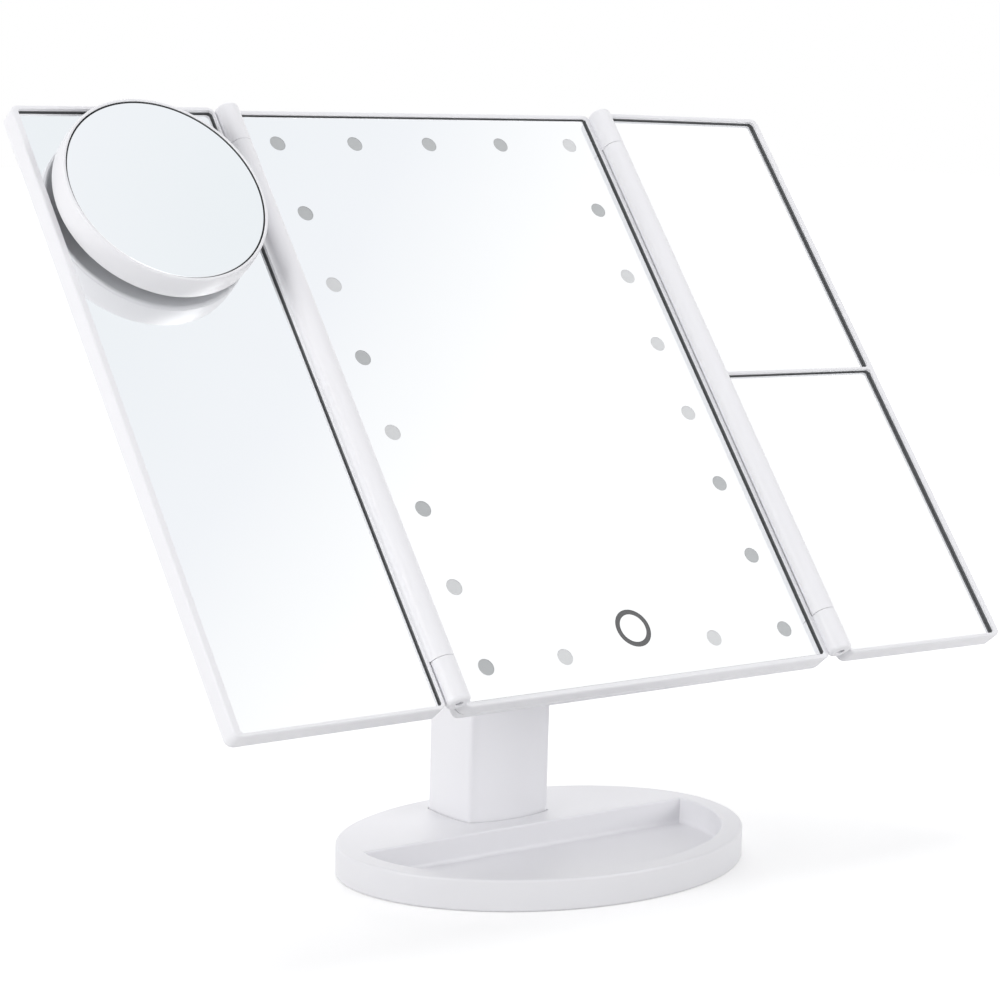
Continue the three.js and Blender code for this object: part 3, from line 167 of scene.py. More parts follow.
def bent(start: Array, pull: Array, end: Array, share: Array) -> Array:
    """Curve of the second degree from its start to its end, drawn towards a third point.

    It is the start times the squared rest, plus the pull times twice the share times the rest, plus the end
    times the squared share.
    """
    return start * (1 - share) ** 2 + 2 * pull * share * (1 - share) + end * share ** 2


def circle(radius: float, x: float = 0.0, y: float = 0.0, steps: int = ROUND_STEPS) -> Array:
    """Ring of points: middle plus radius times the cosine and sine of an even turn."""
    turn = 2 * np.pi * np.arange(steps) / steps
    return np.stack([x + radius * np.cos(turn), y + radius * np.sin(turn)], -1)


def rounded_rings(size: tuple[float, float], corner: float, insets: Array,
                  middle: tuple[float, float] = (0, 0), least: float = 0.4) -> Array:
    """Rectangles with round corners, one inside the other.

    Each corner is its own centre plus a radius times the cosine and sine of a quarter turn. The centre and
    the radius both draw in with the inset.

    Args:
        size: full width and height.
        corner: radius at inset zero.
        insets: how far each ring is drawn in, as one number or as one for each of the two directions.
        middle: centre of the rings.
        least: smallest radius of a corner.

    Returns:
        Array of rings, points and two coordinates.
    """
    insets = np.asarray(insets, float)
    if insets.ndim == 1:
        insets = np.stack([insets, insets], -1)
    radius = np.maximum(corner - insets.min(1), least)
    reach = np.asarray(size, float) / 2 - insets - radius[:, None]
    signs = np.array([[1, 1], [-1, 1], [-1, -1], [1, -1]], float)
    turn = np.linspace(0, np.pi / 2, CORNER_STEPS + 1)[None, :] + np.pi / 2 * np.arange(4)[:, None]
    arcs = np.stack([np.cos(turn), np.sin(turn)], -1)
    rings = signs[None, :, None, :] * reach[:, None, None, :] + radius[:, None, None, None] * arcs[None]
    return rings.reshape(len(insets), -1, 2) + np.asarray(middle, float)


def stood(flat: Array, levels: Array, axis: Axis) -> Array:
    """Rings of two coordinates, each stood at its own level along an axis.

    Args:
        flat: rings, points and two coordinates, or one ring that every level repeats.
        levels: level of each ring.
        axis: direction in which the levels count.

    Returns:
        Rings, points and three coordinates.
    """
    levels = np.asarray(levels, float)
    flat = np.broadcast_to(flat, (len(levels), *flat.shape[-2:]))
    level = np.broadcast_to(levels[:, None], flat.shape[:2])
    return np.insert(flat, axis.value, level, axis=2)


def framed(size: tuple[float, float], corner: float, path: Array, middle: tuple[float, float] = (0, 0),
           least: float = 0.4, axis: Axis = Axis.Y) -> Array:
    """Rectangles with round corners, stood along an axis.

    Args:
        size: full width and height.
        corner: radius at inset zero.
        path: an inset and a level in each row, one row for each ring.
        middle: centre of the rings.
        least: smallest radius of a corner.
        axis: direction in which the levels count.

    Returns:
        Rings, points and three coordinates.
    """
    return stood(rounded_rings(size, corner, path[:, 0], middle, least), path[:, 1], axis)


def lathe(profile: Array, steps: int = ROUND_STEPS) -> Array:
    """Surface of revolution about Z.

    Each point of the profile is a radius and a height, and its ring is that radius times the cosine and
    sine of an even turn.
    """
    unit = circle(1.0, steps=steps)
    return stood(profile[:, 0, None, None] * unit[None], profile[:, 1], Axis.Z)


# Skins


class Skin:
    """Gathers rings and the faces between them, and makes one closed mesh of them."""

    def __init__(self) -> None:
        """Starts with no points and no faces."""
        self.points = np.empty((0, 3))
        self.faces: list[list[int]] = []
        self.inks: list[int] = []

    def _keep(self, faces: Array, ink: int) -> None:
        """Adds rows of point numbers as faces of one finish."""
        self.faces += faces.tolist()
        self.inks += [ink] * len(faces)

    def lay(self, points: Array) -> Array:
        """Adds points of any array shape and returns their numbers in that shape."""
        start = len(self.points)
        self.points = np.concatenate([self.points, points.reshape(-1, 3)])
        return start + np.arange(points.size // 3).reshape(points.shape[:-1])

    def join(self, low: Array, high: Array, ink: int = 0) -> None:
        """Closes the strip between two rings, or between two stacks of them, with quads."""
        low, high = np.atleast_2d(low), np.atleast_2d(high)
        quads = np.stack([low, np.roll(low, -1, 1), np.roll(high, -1, 1), high], -1)
        self._keep(quads.reshape(-1, 4), ink)

    def rings(self, rings: Array, ink: int = 0) -> Array:
        """Adds a stack of rings with quads between them.

        Args:
            rings: rings, points and three coordinates.
            ink: number of the finish.

        Returns:
            Numbers of the points, ring by ring.
        """
        index = self.lay(rings)
        self.join(index[:-1], index[1:], ink)
        return index

    def fill(self, outer: Array, holes: tuple[Array, ...] = (), ink: int = 0) -> None:
        """Closes a flat loop, around the holes in it.

        Args:
            outer: point numbers of the outer loop.
            holes: point numbers of each hole's loop.
            ink: number of the finish.
        """
        order = np.concatenate([outer, *holes])
        triangles = tessellate_polygon([self.points[loop].tolist() for loop in (outer, *holes)])
        self._keep(order[np.array(triangles)], ink)

    def capped(self, rings: Array, ink: int = 0) -> "Skin":
        """Adds a stack of rings whose first and last ring are closed flat, and returns the skin."""
        index = self.rings(rings, ink)
        self.fill(index[0], ink=ink)
        self.fill(index[-1], ink=ink)
        return self

    def pit(self, rings: Array, ink: int = 0) -> Array:
        """Adds a stack of rings that ends in a flat floor, and returns its open first ring."""
        index = self.rings(rings, ink)
        self.fill(index[-1], ink=ink)
        return index[0]

    def take(self, other: "Skin", matrix: Array) -> None:
        """Takes over another skin, moved by a matrix."""
        start = len(self.points)
        self.points = np.concatenate([self.points, moved(other.points, matrix)])
        self.faces += [[start + point for point in face] for face in other.faces]
        self.inks += other.inks

    def turned(self, profile: Array, matrix: Array = HERE, steps: int = ROUND_STEPS) -> "Skin":
        """Adds a closed body of revolution, placed by a matrix, and returns the skin.

        The profile starts and ends on the axis.
        """
        self.rings(moved(lathe(profile, steps), matrix))
        return self

    def mesh(self, name: str, place: Place) -> bpy.types.Mesh:
        """Welds the skin into a mesh in the row frame, with its faces outward."""
        mesh = bpy.data.meshes.new(name)
        mesh.from_pydata(place.world(self.points).tolist(), [], self.faces)
        mesh.polygons.foreach_set("material_index", self.inks)
        work = bmesh.new()
        work.from_mesh(mesh)
        bmesh.ops.remove_doubles(work, verts=work.verts, dist=WELD)
        bmesh.ops.recalc_face_normals(work, faces=work.faces)
        work.to_mesh(mesh)
        work.free()
        return mesh


def added(name: str, data: bpy.types.ID) -> bpy.types.Object:
    """Puts new data into the scene as an object."""
    made = bpy.data.objects.new(name, data)
    bpy.context.scene.collection.objects.link(made)
    return made


def cut(piece: bpy.types.Object, skin: Skin, place: Place) -> None:
    """Cuts the solid inside a skin from a piece, for good."""
    tool = added("tool", skin.mesh("tool", place))
    change = piece.modifiers.new("change", "BOOLEAN")
    change.operation = "DIFFERENCE"
    change.solver = "EXACT"
    change.object = tool
    graph = bpy.context.evaluated_depsgraph_get()
    mesh = bpy.data.meshes.new_from_object(piece.evaluated_get(graph))
    piece.modifiers.clear()
    piece.data = mesh
    bpy.data.objects.remove(tool)


# Finishes


class Graph:
    """Short calls to add and link the nodes of one tree."""

    def __init__(self, tree: bpy.types.NodeTree) -> None:
        """Takes the tree that the nodes go into."""
        self.tree = tree

    def put(self, kind: str, feeds: dict[str | int, object] | None = None,
            **settings: object) -> bpy.types.Node:
        """Adds a node.

        Args:
            kind: type name of the node.
            feeds: value of each input, or the socket that feeds it.
            settings: properties of the node itself.

        Returns:
            The node.
        """
        node = self.tree.nodes.new(kind)
        for key, value in settings.items():
            setattr(node, key, value)
        self.feed(node, feeds or {})
        return node

    def feed(self, node: bpy.types.Node, feeds: dict[str | int, object]) -> None:
        """Gives inputs of a node their values, or links the sockets that feed them."""
        for key, value in feeds.items():
            if isinstance(value, bpy.types.NodeSocket):
                self.tree.links.new(value, node.inputs[key])
            else:
                node.inputs[key].default_value = value

    def maths(self, operation: str, first: object, second: object) -> bpy.types.NodeSocket:
        """Adds a node that works out one number from two."""
        return self.put("ShaderNodeMath", {0: first, 1: second}, operation=operation).outputs[0]

    def swing(self, noise: bpy.types.Node) -> bpy.types.NodeSocket:
        """A noise, moved so that it swings about zero."""
        return self.maths("SUBTRACT", noise.outputs["Fac"], 0.5)

    def noise(self, place: object, scale: object, detail: float) -> bpy.types.Node:
        """Adds a noise."""
        return self.put("ShaderNodeTexNoise", {"Vector": place, "Scale": scale, "Detail": detail})

    def mixed(self, factor: object, first: object, second: object,
              blend: str = "MIX") -> bpy.types.NodeSocket:
        """Adds a node that mixes two colours."""
        feeds = {"Factor": factor, 6: first, 7: second}
        return self.put("ShaderNodeMix", feeds, data_type="RGBA", blend_type=blend).outputs[2]


NUMBER = "NodeSocketFloat"
COLOUR = "NodeSocketColor"
VECTOR = "NodeSocketVector"
GIVEN_SOCKETS = {"Vector": VECTOR, "Colour": COLOUR, "Roughness": NUMBER, "Drift": NUMBER}
MADE_SOCKETS = {"Colour": COLOUR, "Roughness": NUMBER, "Height": NUMBER}
SLOW_SCALE = 22.0
LINE_SCALE = 420.0
LINE_PRESS = (1.0, 1.0, 14.0)
LINE_TONE = 0.18
LINE_DEPTH = 0.02 * MM
HAZE = {"Grain": 60.0, "Mottle": 0.012, "Drift": 0.012}


def effect_group(name: str, inputs: dict[str, str]) -> tuple[Graph, bpy.types.Node, bpy.types.Node]:
    """Makes an empty shader node group that puts out a colour, a roughness and a height.

    Args:
        name: name of the group.
        inputs: socket type of each input.

    Returns:
        The graph of the group, its input node and its output node.
    """
    tree = bpy.data.node_groups.new(name, "ShaderNodeTree")
    for side, sockets in (("INPUT", inputs), ("OUTPUT", MADE_SOCKETS)):
        for label, kind in sockets.items():
            tree.interface.new_socket(label, in_out=side, socket_type=kind)
    graph = Graph(tree)
    return graph, graph.put("NodeGroupInput"), graph.put("NodeGroupOutput")


def tinted(graph: Graph, colour: object, swing: object, amount: object) -> bpy.types.NodeSocket:
    """A colour times one plus a swing times its amount."""
    tone = graph.maths("ADD", graph.maths("MULTIPLY", swing, amount), 1.0)
    grey = graph.put("ShaderNodeCombineColor", {0: tone, 1: tone, 2: tone})
    return graph.mixed(1.0, colour, grey.outputs[0], "MULTIPLY")


class Effects:
    """Effects that several finishes share, each built once."""

    def __init__(self) -> None:
        """Builds the groups."""
        self.moulded = self._moulded()
        self.drawn = self._drawn()

    def _moulded(self) -> bpy.types.NodeTree:
        """Fine grain of a moulded surface with a slow drift of tone and gloss.

        The height is a fine noise. The colour is the given one times one plus a slow noise times the
        mottle, and the roughness drifts by both noises.
        """
        sockets = GIVEN_SOCKETS | {"Grain": NUMBER, "Mottle": NUMBER}
        graph, given, made = effect_group("moulded", sockets)
        fine = graph.noise(given.outputs["Vector"], given.outputs["Grain"], 2.0)
        swing = graph.swing(graph.noise(given.outputs["Vector"], SLOW_SCALE, 3.0))
        both = graph.maths("ADD", swing, graph.swing(fine))
        drift = graph.maths("MULTIPLY", both, given.outputs["Drift"])
        graph.feed(made, {"Colour": tinted(graph, given.outputs["Colour"], swing, given.outputs["Mottle"]),
                          "Roughness": graph.maths("ADD", given.outputs["Roughness"], drift),
                          "Height": fine.outputs["Fac"]})
        return graph.tree

    def _drawn(self) -> bpy.types.NodeTree:
        """Fine lines of drawn or rolled metal: a noise pressed flat along one direction."""
        graph, given, made = effect_group("drawn", GIVEN_SOCKETS)
        pressed = graph.put("ShaderNodeMapping", {"Vector": given.outputs["Vector"], "Scale": LINE_PRESS})
        lines = graph.noise(pressed.outputs[0], LINE_SCALE, 4.0)
        swing = graph.swing(lines)
        drift = graph.maths("MULTIPLY", swing, given.outputs["Drift"])
        graph.feed(made, {"Colour": tinted(graph, given.outputs["Colour"], swing, LINE_TONE),
                          "Roughness": graph.maths("ADD", given.outputs["Roughness"], drift),
                          "Height": lines.outputs["Fac"]})
        return graph.tree


def surfaced(name: str, effect: bpy.types.NodeTree, given: dict[str, object], plain: dict[str, float],
             relief: float = 0.0, depth: float = 0.0) -> bpy.types.Material:
    """Builds a material whose colour, roughness and bump come from a shared effect.

    Args:
        name: name of the material.
        effect: the group that gives the colour, the roughness and the height.
        given: value of each input of the effect, besides the place.
        plain: value of each input of the shader that is the same all over.
        relief: strength of the bump, or zero for none.
        depth: height of the bump in metres.

    Returns:
        The material.
    """
    made = bpy.data.materials.new(name)
    made.use_nodes = True
    graph = Graph(made.node_tree)
    place = graph.put("ShaderNodeTexCoord").outputs["Object"]
    surface = graph.put("ShaderNodeGroup", {"Vector": place, **given}, node_tree=effect)
    feeds = {"Base Color": surface.outputs["Colour"], "Roughness": surface.outputs["Roughness"], **plain}
    if relief:
        bump = {"Strength": relief, "Distance": depth, "Height": surface.outputs["Height"]}
        feeds["Normal"] = graph.put("ShaderNodeBump", bump).outputs[0]
    graph.feed(made.node_tree.nodes["Principled BSDF"], feeds)
    return made


@dataclass(frozen=True)
class Moulded:
    """Plastic, rubber, foam or frosted glass: a moulded or ground surface.

    The grain is the size of the texture in millimetres, and the relief is how strongly it shows. The bump is
    a tenth of the grain high.
    """

    name: str
    slot: str
    colour: tuple[float, float, float]
    roughness: float
    grain: float = 0.35
    relief: float = 0.08
    mottle: float = 0.02
    drift: float = 0.06
    coat: float = 0.0

    def material(self, effects: Effects) -> bpy.types.Material:
        """Builds the material."""
        given = {"Colour": (*self.colour, 1.0), "Roughness": self.roughness, "Drift": self.drift,
                 "Grain": 1.0 / (self.grain * MM), "Mottle": self.mottle}
        plain = {"Coat Weight": self.coat}
        return surfaced(self.name, effects.moulded, given, plain, self.relief, 0.1 * self.grain * MM)


@dataclass(frozen=True)
class Metal:
    """Drawn, turned or rolled metal with fine lines."""

    name: str
    slot: str
    colour: tuple[float, float, float]
    roughness: float
    relief: float = 0.1
    drift: float = 0.16

    def material(self, effects: Effects) -> bpy.types.Material:
        """Builds the material."""
        given = {"Colour": (*self.colour, 1.0), "Roughness": self.roughness, "Drift": self.drift}
        return surfaced(self.name, effects.drawn, given, {"Metallic": 1.0}, self.relief, LINE_DEPTH)


@dataclass(frozen=True)
class Silvered:
    """Silvered glass: a clear reflection with the faintest haze."""

    name: str
    slot: str
    colour: tuple[float, float, float]
    roughness: float

    def material(self, effects: Effects) -> bpy.types.Material:
        """Builds the material."""
        given = {"Colour": (*self.colour, 1.0), "Roughness": self.roughness, **HAZE}
        return surfaced(self.name, effects.moulded, given, {"Metallic": 1.0})


WHITE = Moulded("satin_white", "white_plastic", (0.86, 0.858, 0.88), 0.36, grain=0.3, relief=0.05,
                mottle=0.012)
INNER = Moulded("inner_white", "inner_plastic", (0.74, 0.745, 0.77), 0.55, grain=0.5, relief=0.12)
SILVER = Silvered("silvered_glass", "mirror_glass", (0.975, 0.985, 0.99), 0.012)
# Painted shade: the etched windows are an opaque grey that stands in for the light board lying in shade
# behind the glass; PALE is a lighter grey of the same painted shade.
FROST = Moulded("frosted_window", "mirror_glass", (0.50, 0.515, 0.52), 0.5, grain=0.12, relief=0.15,
                mottle=0.05)
PALE = Moulded("pale_window", "mirror_glass", (0.70, 0.71, 0.715), 0.5, grain=0.12, relief=0.15, mottle=0.05)
RING = Moulded("touch_ring", "mirror_glass", (0.115, 0.115, 0.118), 0.42, grain=0.12, relief=0.1)
# Painted shade: a dark finish on the lower pocket walls and floors, the hinge coves and the spot mirror's
# inner rim, standing in for the shade that falls in those gaps.
SEAL = Moulded("edge_seal", "white_plastic", (0.105, 0.108, 0.112), 0.55, grain=0.3, relief=0.15)
STEEL = Metal("drawn_steel", "steel", (0.58, 0.59, 0.62), 0.3)
WEIGHT = Metal("rolled_weight", "weight_steel", (0.22, 0.23, 0.25), 0.52)
FOOT = Moulded("foot_rubber", "foot_rubber", (0.03, 0.03, 0.033), 0.8, grain=0.6, relief=0.3)
CUP = Moulded("cup_rubber", "cup_rubber", (0.03, 0.03, 0.04), 0.28, grain=0.9, relief=0.06)
BOARD = Moulded("light_board", "light_board", (0.82, 0.81, 0.75), 0.45, grain=1.2, relief=0.1)
CONTROL = Moulded("control_board", "control_board", (0.02, 0.12, 0.055), 0.42, grain=1.6, relief=0.4,
                  mottle=0.5)
SLEEVE = Moulded("cell_sleeve", "cell_sleeve", (0.04, 0.045, 0.055), 0.3, grain=0.8, relief=0.05, coat=0.4)
FOAM = Moulded("grey_foam", "foam", (0.16, 0.165, 0.175), 0.95, grain=0.5, relief=0.8, mottle=0.2)
KNOB = Moulded("switch_grey", "switch_plastic", (0.075, 0.077, 0.085), 0.45, grain=0.25, relief=0.12)
Finish = Moulded | Metal | Silvered


class Bench:
    """Makes finished pieces: it holds the effects and the materials that are already made."""

    def __init__(self) -> None:
        """Builds the shared effects."""
        self.effects = Effects()
        self.ready: dict[str, bpy.types.Material] = {}

    def coat(self, finish: Finish) -> bpy.types.Material:
        """The material of a finish, built the first time it is asked for."""
        if finish.name not in self.ready:
            self.ready[finish.name] = finish.material(self.effects)
        return self.ready[finish.name]

    def piece(self, name: str, skin: Skin, place: Place, finishes: list[Finish], nodes: list[str],
              cuts: tuple[Skin, ...] = ()) -> bpy.types.Object:
        """Makes a piece of a skin and lets it stand for its solids.

        Args:
            name: name of the piece.
            skin: its surface.
            place: where it stands and what it rides on.
            finishes: its finishes, in the order of the skin's inks.
            nodes: names of the solids that it stands for.
            cuts: skins of the solids that are cut from it.

        Returns:
            The piece.
        """
        made = added(name, skin.mesh(name, place))
        for tool in cuts:
            cut(made, tool, place)
        for finish in finishes:
            made.data.materials.append(self.coat(finish))
        made.data.shade_smooth()
        made.data.set_sharp_from_angle(angle=CREASE)
        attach(made, place.body)
        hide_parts(*nodes)
        LOG.info("%s: %d faces for %s", name, len(made.data.polygons), ", ".join(nodes))
        return made

    def dress(self, node: str, finish: Finish) -> None:
        """Gives a solid that stays its finish."""
        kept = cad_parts[node]
        kept.data.materials.clear()
        kept.data.materials.append(self.coat(finish))
        LOG.info("%s: kept, in %s", node, finish.name)


# Places of the sub-assemblies

TILT = 38.3
PIVOT = (0.0, 30.95, 149.45)
PANEL_RISE = 8.5
PANEL_END = 122.8
HINGE_X = 86.8
HINGE_Y = -33.0
LEFT_SPREAD = 0.5
RIGHT_SPREAD = 1.7

STAND = Place(HERE, "stand")
DOOR = Place(HERE, "door")
HEAD = Place(shifted(*PIVOT) @ turned_about(Axis.X, -TILT), "head")
PANEL = HEAD.at(shifted(z=PANEL_RISE))
RIGHT_WING = PANEL.at(shifted(HINGE_X, HINGE_Y) @ turned_about(Axis.Z, RIGHT_SPREAD), "right_wing")
LEFT_WING = PANEL.at(shifted(-HINGE_X, HINGE_Y) @ turned_about(Axis.Z, -LEFT_SPREAD), "left_wing")
SPOT_CENTRE = (-45.1, 0.9, 78.6)
SPOT = LEFT_WING.at(shifted(*SPOT_CENTRE) @ turned_about(Axis.X, 90.0), "spot_mirror")


# Fasteners


@dataclass(frozen=True)
class PanScrew:
    """Pan head screw with a cross recess. It stands on its tip, with the head's underside at zero."""

    radius: float = 1.2
    head_radius: float = 2.6
    head: float = 1.1
    length: float = 4.6
    arm: float = 1.55
    arm_width: float = 0.34
    recess: float = 0.6
    stamped: float = 0.84
    doming: float = 0.22
    steps: int = 56

    def skin(self, matrix: Array) -> Skin:
        """Skin of the screw, placed by a matrix.

        The face of the head is a shallow dome, head times one minus a share of the squared radius. The
        cross is cut into it by the recess times two smooth masks: one of the smaller and one of the larger
        of the two distances from the middle lines.
        """
        radii = np.linspace(0, self.head_radius * self.stamped, 22)
        face = lathe(np.stack([radii, self.head * (1 - self.doming * (radii / self.head_radius) ** 2)], -1),
                     self.steps)
        sides = np.sort(abs(face[:, :, :2]), -1)
        across = np.clip((self.arm_width + 0.1 - sides[:, :, 0]) / 0.14, 0, 1)
        along = np.clip((self.arm - sides[:, :, 1]) / 0.3, 0, 1)
        face[:, :, 2] -= self.recess * across * along
        rim = self.head * (1 - self.doming * self.stamped ** 2)
        side = rounded_path([
            (self.head_radius * (self.stamped + 0.02), rim, 0), (self.head_radius, rim * 0.97, 0.25),
            (self.head_radius, 0, 0.08), (self.radius, 0, 0), (self.radius, -self.length * 0.75, 0),
            (0, -self.length, 0)], steps=3)
        made = Skin()
        made.rings(moved(np.concatenate([face, lathe(side, self.steps)]), matrix))
        return made


def rod(radius: float, length: float, ease: float) -> Array:
    """Profile of a round bar from zero to its length, with eased ends."""
    return rounded_path([(0, 0, 0), (radius, 0, ease), (radius, length, ease), (0, length, 0)], steps=3)


# Base


@dataclass
class Base:
    """Oval base with a sunken tray, and what closes it underneath."""

    width: float = 165.4
    front_reach: float = 64.0
    back_reach: float = 56.3
    height: float = 11.6
    edge: float = 1.0
    rim: float = 8.0
    tray_floor: float = 1.8
    tray_wall: float = 6.7
    tray_lip: float = 0.8
    tray_cove: float = 1.6
    seat: float = 1.2
    plate: float = 2.0
    ledge: tuple[float, float] = (1.2, 7.9)
    cavity: tuple[float, float] = (2.4, 9.1)
    ceiling: float = 8.2
    foot_radius: float = 6.0
    foot: float = 0.8
    foot_groove: float = 0.12
    front_feet: tuple[float, float] = (38.7, 34.0)
    rear_feet: tuple[float, float] = (40.7, 23.3)
    screws: tuple[tuple[float, float], ...] = ((-58.0, 18.0), (58.0, 18.0), (-24.0, 45.0), (24.0, 45.0))
    screw_pit: tuple[float, float] = (2.9, 1.3)
    steps: int = 168

    def _points(self, inset: Array, turn: Array) -> Array:
        """Points of the oval.

        They are half the width and the front or back reach, both less the inset, times the cosine and sine
        of the turn.
        """
        reach = np.where(np.sin(turn) < 0, self.front_reach, self.back_reach) - inset
        return np.stack([(self.width / 2 - inset) * np.cos(turn), reach * np.sin(turn)], -1)

    def oval(self, inset: Array) -> Array:
        """Whole ovals, one for each inset."""
        turn = 2 * np.pi * np.arange(self.steps) / self.steps
        return self._points(np.asarray(inset, float)[:, None], turn[None])

    def part(self, inset: Array, line: Array, front: bool) -> Array:
        """The part of each oval before or behind a straight line across it.

        Args:
            inset: inset of each ring.
            line: place of the line of each ring.
            front: whether the part in front of the line is wanted.

        Returns:
            Rings, points and two coordinates.
        """
        inset, line = np.asarray(inset, float), np.asarray(line, float)
        start = np.arcsin(line / (self.back_reach - inset))
        sweep = -(np.pi + 2 * start) if front else np.pi - 2 * start
        turn = start[:, None] + sweep[:, None] * np.linspace(0, 1, self.steps // 2 + 1)
        return self._points(inset[:, None], turn)

    def feet(self) -> dict[str, tuple[float, float]]:
        """Middle of each foot. The sizes give how far it is from the side and from the end."""
        ends = (("front", self.front_feet[0], self.front_feet[1] - self.front_reach),
                ("rear", self.rear_feet[0], self.back_reach - self.rear_feet[1]))
        return {f"foot_{end}_{side}": (sign * (self.width / 2 - from_side), y)
                for end, from_side, y in ends for side, sign in SIDES}

    def foot_pit(self, skin: Skin, name: str) -> Array:
        """Round recess of a foot in a face at height zero; gives its open ring."""
        x, y = self.feet()[name]
        loop = circle(self.foot_radius + FIT, x, y)
        return skin.pit(stood(loop, [0, self.foot + 0.02], Axis.Z))

    def shell(self, column: "Column") -> Skin:
        """Outer wall, top with tray and column seat, and the hollow under its rear half."""
        skin = Skin()
        side = slab_edge(0, self.height, self.edge, self.edge, steps=5)
        wall = skin.rings(stood(self.oval(side[:, 0]), side[:, 1], Axis.Z))
        high, floor = self.height, self.tray_floor
        tray = rounded_path([(-3, high, 0), (0, high, self.tray_lip), (0, floor, self.tray_cove),
                             (4, floor, 0)])[1:-1]
        loops = self.part(self.rim + tray[:, 0], self.tray_wall - tray[:, 0], True)
        mouth = skin.pit(stood(loops, tray[:, 1], Axis.Z))
        low = high - self.seat
        seat = rounded_path([(2, high, 0), (SEAM, high, 0.2), (SEAM, low, 0), (-1, low, 0)])[1:]
        seat_loop = skin.pit(stood(column.plan(seat[:, 0]), seat[:, 1], Axis.Z))
        skin.fill(wall[-1], (mouth, seat_loop))
        step = self.plate + FIT
        steps = [(*self.ledge, 0), (*self.ledge, step), (*self.cavity, step), (*self.cavity, self.ceiling)]
        inset, line, level = np.array(steps, float).T
        hollow = skin.pit(stood(self.part(inset, line, False), level, Axis.Z))
        pits = [self.foot_pit(skin, name) for name in ("foot_front_left", "foot_front_right")]
        skin.fill(wall[0], (hollow, *pits))
        return skin

    def bottom_plate(self) -> Skin:
        """Plate under the rear half, with recesses for the rear feet and the screw heads."""
        skin = Skin()
        path = slab_edge(0, self.plate, 0.3, 0.2)
        loops = self.part(self.ledge[0] + FIT + path[:, 0], self.ledge[1] + FIT + path[:, 0], False)
        wall = skin.rings(stood(loops, path[:, 1], Axis.Z))
        pits = [self.foot_pit(skin, name) for name in ("foot_rear_left", "foot_rear_right")]
        radius, depth = self.screw_pit
        pits += [skin.pit(stood(circle(radius, x, y), [0, depth], Axis.Z)) for x, y in self.screws]
        skin.fill(wall[0], tuple(pits))
        skin.fill(wall[-1])
        return skin

    def foot_disc(self, name: str) -> Skin:
        """Rubber disc with an eased edge and a shallow groove underneath."""
        x, y = self.feet()[name]
        radius, groove = self.foot_radius, self.foot_groove
        profile = rounded_path([(0, groove, 0), (radius - 2.2, groove, 0.1), (radius - 1.9, 0, 0.1),
                                (radius, 0, 0.2), (radius, self.foot, 0.1), (0, self.foot, 0)], steps=3)
        return Skin().turned(profile, shifted(x, y))

    def build(self, bench: Bench, column: "Column") -> None:
        """Makes the pieces of the base."""
        bench.piece("oval_base", self.shell(column), STAND, [WHITE], ["base_shell"])
        bench.piece("underside_plate", self.bottom_plate(), STAND, [INNER], ["base_bottom_plate"])
        for name in self.feet():
            bench.piece(f"pad_{name}", self.foot_disc(name), STAND, [FOOT], [name])
        for number, (x, y) in enumerate(self.screws, start=1):
            screw = PanScrew().skin(shifted(x, y, self.screw_pit[1]) @ turned_about(Axis.X, 180.0))
            bench.piece(f"underside_screw_{number}", screw, STAND, [STEEL], [f"base_screw_{number}"])
        bench.dress("base_weight", WEIGHT)


# Column


